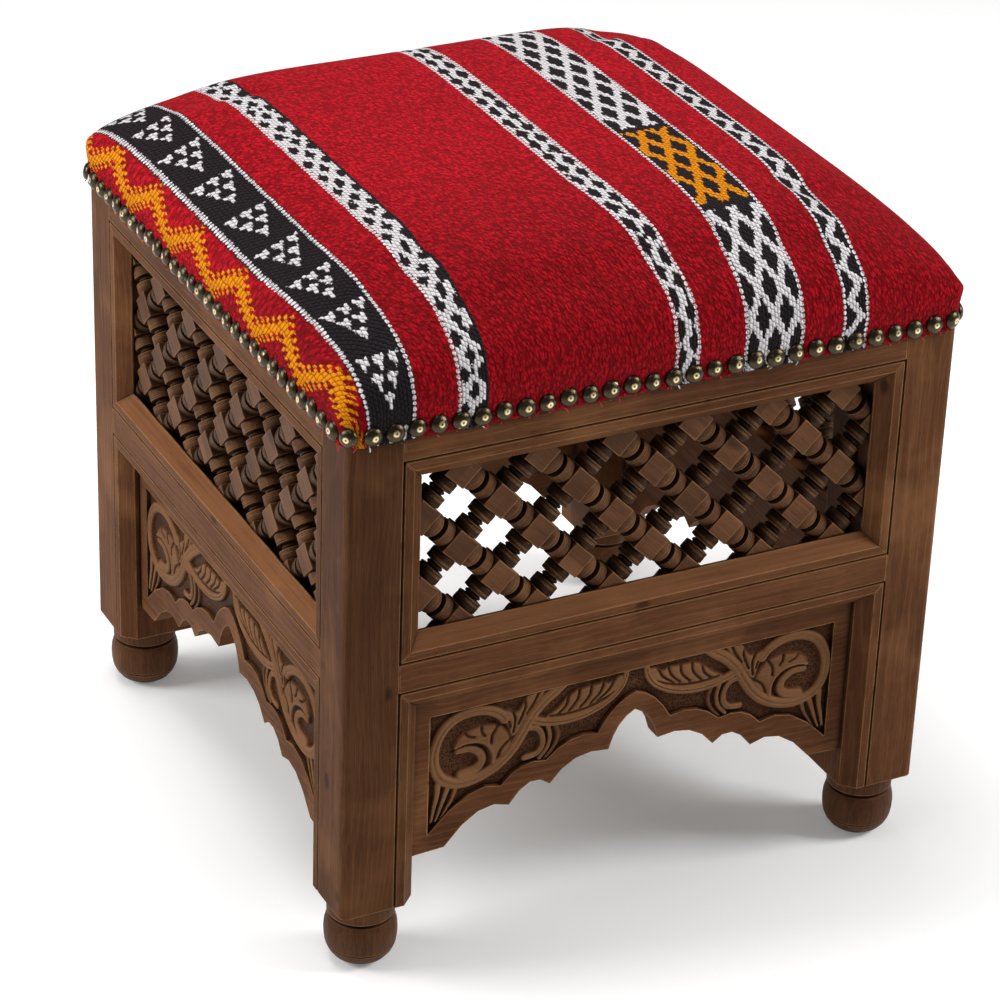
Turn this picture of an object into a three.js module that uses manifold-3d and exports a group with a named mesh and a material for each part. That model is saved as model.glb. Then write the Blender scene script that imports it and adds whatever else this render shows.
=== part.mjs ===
// A square wooden stool: four moulded posts on turned bun feet, two tiers of rails,
// a turned lattice and a scalloped carved apron in each side, and a padded seat
// covered with a flat-woven rug. Millimetres, +Z up, origin on the floor under the middle.
//
// Every side is drawn as the front one, which faces -Y, and turned about Z.
// There x runs along the side, t is the depth behind the posts' outer faces, and z is the height.

import * as THREE from 'three';
import { mergeVertices } from 'three/addons/utils/BufferGeometryUtils.js';
import Module from 'manifold-3d';

const wasm = await Module();
wasm.setup();

// Fits and cuts
const fitGap = 0.3;
const overrun = 2;
const weldTolerance = 0.0001;

// Frame
const seatWidth = 400;
const postWidth = 50;
const postRound = 5;
const footHeight = 45;
const frameTop = 383;
const railHeight = 50;
const railThickness = 32;
const midRailBottom = 180.3;

// Moulding worked along every opening of the frame
const mouldingWidth = 15;
const bevel = 8.5;
const veeWidth = 1.7;
const veeDepth = 1.5;

// Rail joints: a mitred front layer over the post's moulding, and a tenon behind it
const lipThickness = 9;
const tenonThickness = 10;
const tenonSetback = 14;
const tenonLength = 25;
const tenonShoulder = 9;

// Lattice of turned bars
const latticePitch = 50.5;
const blockSize = 17;
const latticeSetback = 9.8;
const drumRadius = 7.8;
const drumGroove = 3;
const drumGrooveDepth = 3.6;
const drumSides = 6;
const latticeHousing = 3;
const latticeRabbet = 14;
const rabbetWall = 4;
const frontLatticeShift = { x: 3.3, z: 22.1 };
const sideLatticeShift = { x: 17.9, z: 17.4 };

// Carved apron
const apronSetback = 12;
const apronThickness = 12;
const apronHousing = 6;
const apronBottom = 70;
const apronPeak = 137.5;
const fieldSide = 138.5;
const fieldTop = 166;
const fieldBottom = 83;
const fieldPeak = 150;
const fieldDepth = 3;
const foilSteps = 4;

// Bun foot
const footInset = 24;
const bunRadius = 22.6;
const dowelRadius = 9;
const dowelLength = 22;
const footSides = 14;

// Seat
const cleatThickness = 18;
const cleatHeight = 20;
const boardThickness = 10;
const boardInset = 9;
const boardRound = 20;
const coverThickness = 2.7;
const coverLift = 3;
const coverRise = 61;
const coverDrop = 19;
const coverRound = 8;
const coverSides = 8;
const coverRings = 5;
const cornerSteps = 3;

// Colours
const walnut = 0x5e3f2b;
const walnutLight = 0x6d4a32;
const walnutDark = 0x4b3122;
const pine = 0xb08a5c;
const foam = 0xe7dcc2;
const wool = 0xa81428;

const half = seatWidth / 2;
const inner = half - postWidth;
const quarterTurn = Math.PI / 2;
const coverSpring = frameTop + coverLift;
const coverApex = coverSpring + coverRise;
const coverHem = frameTop - coverDrop;
const windowSight = {
  left: -inner,
  right: inner,
  bottom: midRailBottom + railHeight,
  top: frameTop - railHeight,
};
const archSight = { left: -inner, right: inner, bottom: footHeight - overrun, top: midRailBottom };

// Solids and booleans

function solid(geometry) {
  const plain = new THREE.BufferGeometry();
  plain.setAttribute('position', geometry.attributes.position.clone());
  if (geometry.index) {
    plain.setIndex(geometry.index.clone());
  }
  const merged = mergeVertices(plain, weldTolerance);
  return new wasm.Manifold(new wasm.Mesh({
    numProp: 3,
    vertProperties: new Float32Array(merged.attributes.position.array),
    triVerts: new Uint32Array(merged.index.array),
  }));
}

function geometryOf(manifold) {
  const mesh = manifold.getMesh();
  const geometry = new THREE.BufferGeometry();
  geometry.setAttribute('position', new THREE.BufferAttribute(new Float32Array(mesh.vertProperties), 3));
  geometry.setIndex(new THREE.BufferAttribute(new Uint32Array(mesh.triVerts), 1));
  return geometry;
}

function fused(geometries) {
  return geometries.map(solid).reduce((whole, piece) => whole.add(piece));
}

function cut(whole, geometries) {
  return geometries.map(solid).reduce((rest, piece) => rest.subtract(piece), whole);
}

// Shapes in the front side's own frame

function grown(rect, by) {
  return { left: rect.left - by, right: rect.right + by, bottom: rect.bottom - by, top: rect.top + by };
}

// A box from one upright rectangle to another behind it
function tapered(near, far, nearDepth, farDepth) {
  const geometry = new THREE.BoxGeometry(1, 1, 1);
  const places = geometry.attributes.position;
  for (let i = 0; i < places.count; i += 1) {
    const isNear = places.getY(i) < 0;
    const rect = isNear ? near : far;
    places.setXYZ(
      i,
      places.getX(i) < 0 ? rect.left : rect.right,
      (isNear ? nearDepth : farDepth) - half,
      places.getZ(i) < 0 ? rect.bottom : rect.top,
    );
  }
  return geometry;
}

function box(left, right, nearDepth, farDepth, bottom, top) {
  const rect = { left, right, bottom, top };
  return tapered(rect, rect, nearDepth, farDepth);
}

// A plate of the given outline, drawn in x and z, between two depths
function plate(shape, nearDepth, farDepth, curveSegments = 1) {
  const geometry = new THREE.ExtrudeGeometry(shape, {
    depth: farDepth - nearDepth,
    bevelEnabled: false,
    curveSegments,
  });
  geometry.rotateX(quarterTurn);
  geometry.translate(0, farDepth - half, 0);
  return geometry;
}

function outline(points) {
  return new THREE.Shape(points.map(([x, z]) => new THREE.Vector2(x, z)));
}

// Moulding

function bevelCutter(sight) {
  return tapered(grown(sight, bevel + overrun), sight, -overrun, bevel);
}

// A mitred V groove that runs round an opening
function veeCutter(sight) {
  const flare = veeWidth / 2 / veeDepth;
  const ring = (side, depth) => grown(sight, mouldingWidth + side * flare * (veeDepth - depth));
  const outer = tapered(ring(1, -overrun), ring(1, veeDepth), -overrun, veeDepth);
  const coreTop = -overrun - overrun;
  const coreFloor = veeDepth + overrun;
  const core = tapered(ring(-1, coreTop), ring(-1, coreFloor), coreTop, coreFloor);
  return geometryOf(solid(outer).subtract(solid(core)));
}

// The front layer of a rail, with its ends mitred into the posts' moulding where it meets an opening
function lipOutline(bottom, top, bottomMitred, topMitred, slack, past) {
  const shoulder = inner + mouldingWidth + slack;
  const shift = slack * Math.SQRT2;
  const lower = bottomMitred
    ? [[inner - past, bottom - past - shift], [shoulder, bottom + mouldingWidth + slack - shift]]
    : [[shoulder, bottom]];
  const upper = topMitred
    ? [[shoulder, top - mouldingWidth - slack + shift], [inner - past, top + past + shift]]
    : [[shoulder, top + past]];
  const right = [...lower, ...upper];
  const left = right.map(([x, z]) => [-x, z]).reverse();
  return outline([...right, ...left]);
}

const rails = {
  top: {
    bottom: frameTop - railHeight,
    top: frameTop,
    bottomMitred: true,
    topMitred: false,
    upperShoulder: tenonShoulder,
  },
  mid: {
    bottom: midRailBottom,
    top: midRailBottom + railHeight,
    bottomMitred: true,
    topMitred: true,
    upperShoulder: latticeRabbet + rabbetWall,
  },
};

function tenon(rail, slack) {
  const reach = inner + tenonLength + slack;
  return box(
    -reach,
    reach,
    tenonSetback - slack,
    tenonSetback + tenonThickness + slack,
    rail.bottom + tenonShoulder - slack,
    rail.top - rail.upperShoulder + slack,
  );
}

const latticeBox = {
  left: -inner - latticeHousing,
  right: inner + latticeHousing,
  bottom: windowSight.bottom - latticeRabbet,
  top: windowSight.top + latticeHousing,
};

function latticeRoom(slack) {
  const room = grown(latticeBox, slack);
  return tapered(room, room, latticeSetback - slack, latticeSetback + blockSize + slack);
}

// The middle rail is cut away behind its lip, and the lattice's lower edge stands in the rabbet
function rabbetCutter() {
  const reach = inner + overrun;
  const floor = latticeBox.bottom - fitGap;
  const near = latticeSetback - fitGap;
  return box(-reach, reach, near, railThickness + overrun, floor, windowSight.bottom + overrun);
}

function apronRoom() {
  const reach = inner + apronHousing + fitGap;
  const near = apronSetback - fitGap;
  const far = apronSetback + apronThickness + fitGap;
  return box(-reach, reach, near, far, apronBottom - fitGap, midRailBottom + apronHousing + fitGap);
}

function openingCutters() {
  return [
    bevelCutter(windowSight),
    bevelCutter(archSight),
    veeCutter(windowSight),
    veeCutter(archSight),
    latticeRoom(fitGap),
    apronRoom(),
  ];
}

// Posts

function lipRoom(rail) {
  const past = rail.topMitred ? overrun : overrun + fitGap;
  const shape = lipOutline(rail.bottom, rail.top, rail.bottomMitred, rail.topMitred, fitGap, past);
  return plate(shape, -overrun, lipThickness + fitGap);
}

function postGeometry() {
  const shape = new THREE.Shape();
  shape.moveTo(-half, -half + postRound);
  shape.absarc(-half + postRound, -half + postRound, postRound, Math.PI, Math.PI + quarterTurn);
  shape.lineTo(-inner, -half);
  shape.lineTo(-inner, -inner);
  shape.lineTo(-half, -inner);
  const bar = new THREE.ExtrudeGeometry(shape, {
    depth: frameTop - footHeight,
    bevelEnabled: false,
    curveSegments: 4,
  });
  bar.translate(0, 0, footHeight);
  const sideCuts = () => [
    ...openingCutters(),
    ...Object.values(rails).flatMap((rail) => [lipRoom(rail), tenon(rail, fitGap)]),
  ];
  const hole = new THREE.CylinderGeometry(
    dowelRadius + fitGap,
    dowelRadius + fitGap,
    dowelLength + fitGap + overrun,
    footSides,
  );
  hole.rotateX(quarterTurn);
  hole.translate(footInset - half, footInset - half, footHeight + (dowelLength + fitGap - overrun) / 2);
  const leftCuts = sideCuts().map((geometry) => geometry.rotateZ(-quarterTurn));
  return geometryOf(cut(solid(bar), [...sideCuts(), ...leftCuts, hole]));
}

// Rails

function railGeometry(rail) {
  const reach = inner - fitGap;
  const body = box(-reach, reach, 0, railThickness, rail.bottom, rail.top);
  const lip = plate(
    lipOutline(rail.bottom, rail.top, rail.bottomMitred, rail.topMitred, 0, 0),
    0,
    lipThickness,
  );
  return geometryOf(cut(fused([body, lip, tenon(rail, 0)]), [...openingCutters(), rabbetCutter()]));
}

// Lattice: square blocks on a diagonal net, joined by bars that are turned round towards
// a groove at mid length

// Corners of the block face that a bar leaves from
function squareRing(centre, across, deep, reach) {
  const signs = [[1, 1], [-1, 1], [-1, -1], [1, -1]];
  return signs.map(([a, b]) => (
    centre.clone().addScaledVector(across, a * reach).addScaledVector(deep, b * reach)));
}

function turnedRing(centre, across, deep, radius) {
  return Array.from({ length: drumSides }, (_, i) => {
    const angle = (i / drumSides) * 4 * quarterTurn;
    return centre.clone()
      .addScaledVector(across, radius * Math.cos(angle))
      .addScaledVector(deep, radius * Math.sin(angle));
  });
}

// Faces between a square ring and a turned one; flipped where the square is the far ring
function shoulderFaces(square, ring, flipped) {
  const firstOf = (corner) => Math.round((corner * drumSides) / square.length);
  const faces = square.flatMap((corner, c) => {
    const first = firstOf(c);
    const next = firstOf(c + 1);
    const fan = ring.slice(first, next).map((point, k) => (
      [corner, ring[(first + k + 1) % drumSides], point]));
    return [...fan, [corner, square[(c + 1) % square.length], ring[next % drumSides]]];
  });
  return flipped ? faces.map(([a, b, c]) => [a, c, b]) : faces;
}

function bandFaces(near, far) {
  return near.flatMap((point, i) => {
    const next = (i + 1) % near.length;
    return [[point, near[next], far[next]], [point, far[next], far[i]]];
  });
}

function barFaces(from, to) {
  const along = to.clone().sub(from).normalize();
  const deep = new THREE.Vector3(0, 1, 0);
  const across = deep.clone().cross(along);
  const span = from.distanceTo(to);
  const at = (distance) => from.clone().addScaledVector(along, distance);
  const reach = blockSize / 2;
  const start = squareRing(at(reach), across, deep, reach);
  const end = squareRing(at(span - reach), across, deep, reach);
  const before = turnedRing(at((span - drumGroove) / 2), across, deep, drumRadius);
  const groove = turnedRing(at(span / 2), across, deep, drumRadius - drumGrooveDepth);
  const after = turnedRing(at((span + drumGroove) / 2), across, deep, drumRadius);
  return [
    ...shoulderFaces(start, before, false),
    ...bandFaces(before, groove),
    ...bandFaces(groove, after),
    ...shoulderFaces(end, after, true),
  ];
}

function quadFaces([a, b, c, d]) {
  return [[a, b, c], [a, c, d]];
}

// A block's front and back, and the sides that no bar leaves from
function blockFaces(centre, bareDirections) {
  const reach = blockSize / 2;
  const deep = new THREE.Vector3(0, 1, 0);
  const corners = [[1, 0], [0, 1], [-1, 0], [0, -1]].map(([x, z]) => (
    new THREE.Vector3(x, 0, z).multiplyScalar(reach * Math.SQRT2).add(centre)));
  const front = corners.map((corner) => corner.clone().addScaledVector(deep, -reach));
  const back = corners.map((corner) => corner.clone().addScaledVector(deep, reach)).reverse();
  const faces = [...quadFaces(front), ...quadFaces(back)];
  bareDirections.forEach((along) => {
    const middle = centre.clone().addScaledVector(along, reach);
    faces.push(...quadFaces(squareRing(middle, deep.clone().cross(along), deep, reach)));
  });
  return faces;
}

function latticeGeometry(shift) {
  const step = latticePitch / 2;
  const axisY = latticeSetback + blockSize / 2 - half;
  const middleZ = (windowSight.bottom + windowSight.top) / 2;
  const reachX = Math.ceil(half / step) + 1;
  const reachZ = Math.ceil((windowSight.top - windowSight.bottom) / latticePitch) + 2;
  const isNode = (i, j) => Math.abs(i) <= reachX && Math.abs(j) <= reachZ;
  const place = (i, j) => new THREE.Vector3(shift.x + i * step, axisY, middleZ + shift.z + j * step);
  const faces = [];
  for (let j = -reachZ; j <= reachZ; j += 1) {
    for (let i = -reachX; i <= reachX; i += 1) {
      if ((i + j) % 2 === 0) {
        const ways = [[1, 1], [1, -1], [-1, 1], [-1, -1]];
        const bare = ways.filter(([a, b]) => !isNode(i + a, j + b));
        const directions = bare.map(([a, b]) => new THREE.Vector3(a, 0, b).normalize());
        faces.push(...blockFaces(place(i, j), directions));
        ways.slice(0, 2).filter(([a, b]) => isNode(i + a, j + b)).forEach(([a, b]) => {
          faces.push(...barFaces(place(i, j), place(i + a, j + b)));
        });
      }
    }
  }
  const net = new THREE.BufferGeometry().setFromPoints(faces.flat());
  const trimmed = solid(net).intersect(solid(tapered(latticeBox, latticeBox, 0, railThickness)));
  // Slivers of bars that reach only into the housing are left off
  const whole = trimmed.decompose().reduce((largest, body) => (
    body.volume() > largest.volume() ? body : largest));
  return geometryOf(whole);
}

// Apron: an arch of pointed foils, with a sunk field that follows it

// Ends and pulls of the foils, as shares of the half opening and of the arch's height
const archFoilShares = [
  [[0.847, 0.02], [0.693, 0.467], [0.56, 0.3]],
  [[0.56, 0.3], [0.467, 0.622], [0.377, 0.419]],
  [[0.377, 0.419], [0.28, 0.726], [0.113, 0.634]],
  [[0.113, 0.634], [0.083, 0.919], [0, 1]],
];

// The same for the field, as shares of its half width and of its lower edge's rise
const fieldFoilShares = [
  [[1, 0], [0.794, 0.485], [0.65, 0.336]],
  [[0.65, 0.336], [0.556, 0.575], [0.433, 0.493]],
  [[0.433, 0.493], [0.325, 0.724], [0.181, 0.649]],
  [[0.181, 0.649], [0.105, 0.951], [0, 1]],
];

function foilPoints(shares, width, bottom, peak) {
  const place = ([x, z]) => new THREE.Vector2(x * width, bottom + z * (peak - bottom));
  return shares.flatMap(([start, pull, end]) => {
    const curve = new THREE.QuadraticBezierCurve(place(start), place(pull), place(end));
    return curve.getPoints(foilSteps).slice(0, -1).map((point) => [point.x, point.y]);
  });
}

function mirrored(points, peak) {
  const left = points.map(([x, z]) => [-x, z]).reverse();
  return [...points, [0, peak], ...left];
}

function apronGeometry() {
  const side = inner + apronHousing;
  const top = midRailBottom + apronHousing;
  const arch = mirrored(foilPoints(archFoilShares, inner, apronBottom, apronPeak), apronPeak);
  const panel = plate(
    outline([[-side, top], [-side, apronBottom], ...arch.reverse(), [side, apronBottom], [side, top]]),
    apronSetback,
    apronSetback + apronThickness,
  );
  const edge = mirrored(foilPoints(fieldFoilShares, fieldSide, fieldBottom, fieldPeak), fieldPeak);
  const field = plate(
    outline([[-fieldSide, fieldTop], ...edge.reverse(), [fieldSide, fieldTop]]),
    apronSetback - overrun,
    apronSetback + fieldDepth,
  );
  return geometryOf(cut(solid(panel), [field]));
}

// Foot: a bun with a quirk and a neck below the post, on a dowel

// Radius and height of the turned outline, as shares of the bun's radius and of the foot's height
const footShares = [
  [0.42, 0],
  [0.62, 0.045],
  [0.8, 0.13],
  [0.93, 0.25],
  [0.99, 0.37],
  [1, 0.48],
  [0.97, 0.59],
  [0.9, 0.68],
  [0.85, 0.72],
  [0.91, 0.77],
  [0.93, 0.82],
];

function footGeometry() {
  const neck = footShares[footShares.length - 1][0] * bunRadius;
  const points = [
    [0, 0],
    ...footShares.map(([radius, height]) => [radius * bunRadius, height * footHeight]),
    [neck, footHeight - fitGap],
    [dowelRadius, footHeight - fitGap],
    [dowelRadius, footHeight + dowelLength],
    [0, footHeight + dowelLength],
  ].map(([radius, height]) => new THREE.Vector2(radius, height));
  const geometry = new THREE.LatheGeometry(points, footSides);
  geometry.rotateX(quarterTurn);
  return geometryOf(solid(geometry.translate(footInset - half, footInset - half, 0)));
}

// Seat

function roundedSquare(reach, radius, sides) {
  const straight = reach - radius;
  const points = [];
  for (let corner = 0; corner < 4; corner += 1) {
    const turn = corner * quarterTurn;
    const centre = new THREE.Vector2(straight, straight).rotateAround(new THREE.Vector2(), turn);
    for (let k = 0; k <= cornerSteps; k += 1) {
      const angle = turn + (k / cornerSteps) * quarterTurn;
      points.push([centre.x + radius * Math.cos(angle), centre.y + radius * Math.sin(angle)]);
    }
    for (let k = 1; k < sides; k += 1) {
      const along = straight - (2 * straight * k) / sides;
      const side = new THREE.Vector2(along, reach).rotateAround(new THREE.Vector2(), turn);
      points.push([side.x, side.y]);
    }
  }
  return points;
}

// Height of the crowned seat above its springing, from the edge to the middle
const crownPower = 4;
const crownEase = 0.6;

function crown(x, y, reach) {
  const fall = (place) => 1 - Math.min(1, Math.abs(place / reach)) ** crownPower;
  return (fall(x) * fall(y)) ** crownEase;
}

// A skin of rings, each a closed loop of points, from one end point to the other
function ringedSkin(first, rings, last) {
  const points = [first, ...rings.flat(), last];
  const count = rings[0].length;
  const index = [];
  for (let i = 0; i < count; i += 1) {
    const next = (i + 1) % count;
    index.push(0, 1 + i, 1 + next);
    for (let k = 0; k + 1 < rings.length; k += 1) {
      const upper = 1 + k * count;
      const lower = upper + count;
      // The quad's diagonal always leaves the narrower ring at point i
      if (rings[k][0][0] < rings[k + 1][0][0]) {
        index.push(upper + i, lower + i, lower + next, upper + i, lower + next, upper + next);
      } else {
        index.push(upper + i, lower + i, upper + next, lower + i, lower + next, upper + next);
      }
    }
    const end = 1 + (rings.length - 1) * count;
    index.push(end + i, points.length - 1, end + next);
  }
  const geometry = new THREE.BufferGeometry();
  geometry.setAttribute('position', new THREE.Float32BufferAttribute(points.flat(), 3));
  geometry.setIndex(index);
  return geometry;
}

// Crowned rings from near the middle out to the reach
function crownRings(reach, spring, apex, radius) {
  return Array.from({ length: coverRings }, (_, k) => {
    const share = 1 - (1 - (k + 1) / coverRings) ** 2;
    return roundedSquare(reach, radius, coverSides).map(([x, y]) => {
      const height = spring + (apex - spring) * crown(x * share, y * share, reach);
      return [x * share, y * share, height];
    });
  });
}

function level(ring, height) {
  return ring.map(([x, y]) => [x, y, height]);
}

// The cover's inner side, lowered by the given slack
function liningRings(slack) {
  return crownRings(
    half + fitGap,
    coverSpring - coverThickness - slack,
    coverApex - coverThickness - slack,
    coverRound - coverThickness,
  );
}

function coverGeometry() {
  const outer = crownRings(half + fitGap + coverThickness, coverSpring, coverApex, coverRound);
  const lining = liningRings(0).reverse();
  const rings = [
    ...outer,
    level(outer[outer.length - 1], coverHem),
    level(lining[0], coverHem),
    ...lining,
  ];
  const skin = ringedSkin([0, 0, coverApex], rings, [0, 0, coverApex - coverThickness]);
  return geometryOf(solid(skin));
}

// The pad ends one ring short of the cover's edge
function padGeometry() {
  const seatTop = frameTop + fitGap + boardThickness + fitGap;
  const rings = liningRings(fitGap).slice(0, -1);
  rings.push(level(rings[rings.length - 1], seatTop));
  const upper = coverApex - coverThickness - fitGap;
  return geometryOf(solid(ringedSkin([0, 0, upper], rings, [0, 0, seatTop])));
}

function boardGeometry() {
  const points = roundedSquare(half - boardInset, boardRound, 1);
  const geometry = new THREE.ExtrudeGeometry(outline(points), {
    depth: boardThickness,
    bevelEnabled: false,
  });
  return geometryOf(solid(geometry.translate(0, 0, frameTop + fitGap)));
}

function cleatGeometry() {
  const near = railThickness + fitGap;
  const reach = inner - fitGap;
  return box(-reach, reach, near, near + cleatThickness, frameTop - cleatHeight, frameTop);
}

// The stool

const stool = new THREE.Group();

function add(name, geometry, turn, colour, roughness) {
  const material = new THREE.MeshStandardMaterial({ color: colour, roughness, metalness: 0 });
  const mesh = new THREE.Mesh(geometry, material);
  mesh.name = name;
  mesh.rotation.z = turn * quarterTurn;
  stool.add(mesh);
}

const woodRough = 0.55;
const clothRough = 0.95;
const corners = ['front_left', 'front_right', 'back_right', 'back_left'];
const sides = ['front', 'right', 'back', 'left'];
const post = postGeometry();
const foot = footGeometry();
const topRail = railGeometry(rails.top);
const midRail = railGeometry(rails.mid);
const apron = apronGeometry();
const cleat = cleatGeometry();
const lattices = [latticeGeometry(frontLatticeShift), latticeGeometry(sideLatticeShift)];

corners.forEach((corner, turn) => {
  add(`post_${corner}`, post.clone(), turn, walnut, woodRough);
  add(`bun_foot_${corner}`, foot.clone(), turn, walnutDark, woodRough);
});
sides.forEach((side, turn) => {
  add(`top_rail_${side}`, topRail.clone(), turn, walnutLight, woodRough);
  add(`mid_rail_${side}`, midRail.clone(), turn, walnutLight, woodRough);
  add(`lattice_${side}`, lattices[turn % 2].clone(), turn, walnutDark, woodRough);
  add(`carved_apron_${side}`, apron.clone(), turn, walnut, woodRough);
  add(`seat_cleat_${side}`, cleat.clone(), turn, pine, woodRough);
});
add('seat_board', boardGeometry(), 0, pine, woodRough);
add('foam_pad', padGeometry(), 0, foam, clothRough);
add('rug_cover', coverGeometry(), 0, wool, clothRough);

export default stool;
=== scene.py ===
import math
from functools import partialmethod

import bmesh
import bpy
import numpy as np
from bpy.props import FloatProperty, FloatVectorProperty, IntProperty, PointerProperty
from mathutils import Matrix, Vector


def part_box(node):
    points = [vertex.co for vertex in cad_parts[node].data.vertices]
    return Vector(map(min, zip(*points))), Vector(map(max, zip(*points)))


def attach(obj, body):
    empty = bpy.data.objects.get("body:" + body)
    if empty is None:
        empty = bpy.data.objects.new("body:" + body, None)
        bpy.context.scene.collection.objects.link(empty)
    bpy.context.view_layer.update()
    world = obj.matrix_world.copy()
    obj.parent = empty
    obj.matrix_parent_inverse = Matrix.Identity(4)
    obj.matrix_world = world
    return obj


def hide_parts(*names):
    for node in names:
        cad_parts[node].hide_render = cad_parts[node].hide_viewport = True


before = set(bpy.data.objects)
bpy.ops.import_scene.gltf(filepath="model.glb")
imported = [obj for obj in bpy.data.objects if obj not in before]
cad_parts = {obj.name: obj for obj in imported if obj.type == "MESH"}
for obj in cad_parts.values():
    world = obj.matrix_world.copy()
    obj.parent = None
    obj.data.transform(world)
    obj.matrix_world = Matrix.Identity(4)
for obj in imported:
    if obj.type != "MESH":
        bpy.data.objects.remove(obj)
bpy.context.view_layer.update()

bl_info = {
    "name": "Kursi stool",
    "version": (1, 0, 0),
    "blender": (4, 5, 0),
    "location": "3D View > Sidebar > Kursi",
    "description": "Dresses a square wooden stool with turned lattice, carved aprons and a woven rug seat",
    "category": "Object",
}

SIDES = ("front", "right", "back", "left")
CORNERS = ("front_left", "front_right", "back_right", "back_left")
MM = 0.001
FAR = 1e9
TINY = 1e-9
HAIR = 0.1 * MM
WHITE = (1.0, 1.0, 1.0, 1.0)


# Settings

def length(name, description, default):
    return FloatProperty(name=name, description=description, default=default, unit="LENGTH", precision=4)


def number(name, description, default):
    return FloatProperty(name=name, description=description, default=default)


def angle(name, description, degrees):
    return FloatProperty(name=name, description=description, default=math.radians(degrees), subtype="ANGLE")


def spot(name, description, default):
    return FloatVectorProperty(name=name, description=description, default=default, size=len(default),
                               unit="LENGTH", precision=4)


def colour(name, description, default):
    return FloatVectorProperty(name=name, description=description, default=default, subtype="COLOR",
                               size=3, min=0.0, max=1.0)


def count(name, description, default, least):
    return IntProperty(name=name, description=description, default=default, min=least)


class ViewSettings(bpy.types.PropertyGroup):
    place: spot("Place", "Where the camera stands", (-0.954801, -1.831243, 1.325902))
    heading: angle("Heading", "Turn about the vertical", -27.54)
    height: angle("Height", "Angle above the horizon", 28.879)
    roll: angle("Roll", "Tilt of the picture", 2.175)
    lens: number("Lens", "Focal length on a 36 mm sensor, in millimetres", 132.53)
    floor_reach: length("Floor reach", "Half the width of the floor", 6.0)
    floor_colour: colour("Floor", "Colour of the floor", (0.94, 0.94, 0.935))
    glow: number("Glow", "Light of the floor's own, as from a lit table", 0.16)
    ambient: number("Ambient", "Strength of the light from all around", 0.19)
    overhead: number("Overhead", "Power of the light above", 36.0)
    left_light: number("Left", "Power of the light on the left", 34.0)
    right_light: number("Right", "Power of the light on the right", 43.0)


class WoodSettings(bpy.types.PropertyGroup):
    ground: colour("Stain", "Colour of the stained wood", (0.178, 0.075, 0.031))
    line: colour("Grain line", "Colour of the hard grain lines", (0.290, 0.128, 0.052))
    dark: colour("Pores", "Colour of the pores and streaks", (0.052, 0.019, 0.008))
    # Ledge highlight: painted light, the colour that faces looking up get from the light above
    ledge_highlight: colour("Ledges", "Colour of the wood on faces that look up", (0.340, 0.142, 0.060))
    worn: colour("Worn edge", "Colour where the stain has rubbed off", (0.470, 0.250, 0.105))
    # Crevice: stain that settled in grooves, and painted shade in recesses and between parts
    crevice_stain_and_shade: colour("Crevice", "Colour of the stain that settled in grooves", (0.012, 0.006, 0.004))
    raw: colour("Bare pine", "Colour of the unstained wood inside", (0.560, 0.400, 0.230))
    ring_step: length("Ring step", "Distance between grain lines", 0.0034)


class LatticeSettings(bpy.types.PropertyGroup):
    pitch: length("Pitch", "Distance between blocks along a row", 0.0505)
    block: length("Block", "Side of a square block", 0.017)
    chamfer: length("Chamfer", "Broken edge of a block", 0.0005)
    drum: length("Drum", "Radius of a turned bar", 0.0081)
    step: length("Step", "Depth of the shadow line where a bar leaves its block", 0.0008)
    groove: length("Groove", "Depth of the groove at a bar's middle", 0.0039)
    groove_width: length("Groove width", "Width of that groove", 0.0040)
    bead: length("Bead", "Depth of the thin ring that stands in the groove", 0.0027)
    line_place: length("Line place", "Distance of the incised line from a bar's middle", 0.0044)
    line_depth: length("Line depth", "Depth of the incised line", 0.0004)
    front_shift: spot("Front shift", "Block nearest the window's middle", (0.0033, 0.0221))
    side_shift: spot("Side shift", "The same in the side windows", (0.0179, 0.0174))
    segments: count("Segments", "Faces around a bar", 24, 8)


class FootSettings(bpy.types.PropertyGroup):
    bun: length("Bun", "Largest radius of the foot", 0.0226)
    base: length("Base", "Radius of the flat under the foot", 0.0095)
    neck: length("Neck", "Radius of the neck below the post", 0.0209)
    quirk: length("Quirk", "Depth of the groove below the neck", 0.0028)
    line_depth: length("Line depth", "Depth of the incised line", 0.0007)
    dowel: length("Dowel", "Radius of the dowel in the post", 0.009)
    segments: count("Segments", "Faces around a foot", 64, 8)


class CarvingSettings(bpy.types.PropertyGroup):
    step: length("Step", "Size of the mesh's faces", 0.0007)
    field_depth: length("Field depth", "How deep the field is sunk in the apron", 0.003)
    bed: length("Bed", "How far the carving's back lies in the apron", 0.0012)
    ground: length("Ground", "Thickness of the punched ground over the field's floor", 0.0002)
    relief: length("Relief", "Height of the scrolls over the ground", 0.0031)
    punch: length("Punch", "Distance between the dots of the ground", 0.0015)
    crest: colour("Crest", "Colour of the scrolls where they stand highest", (0.250, 0.135, 0.062))


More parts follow.
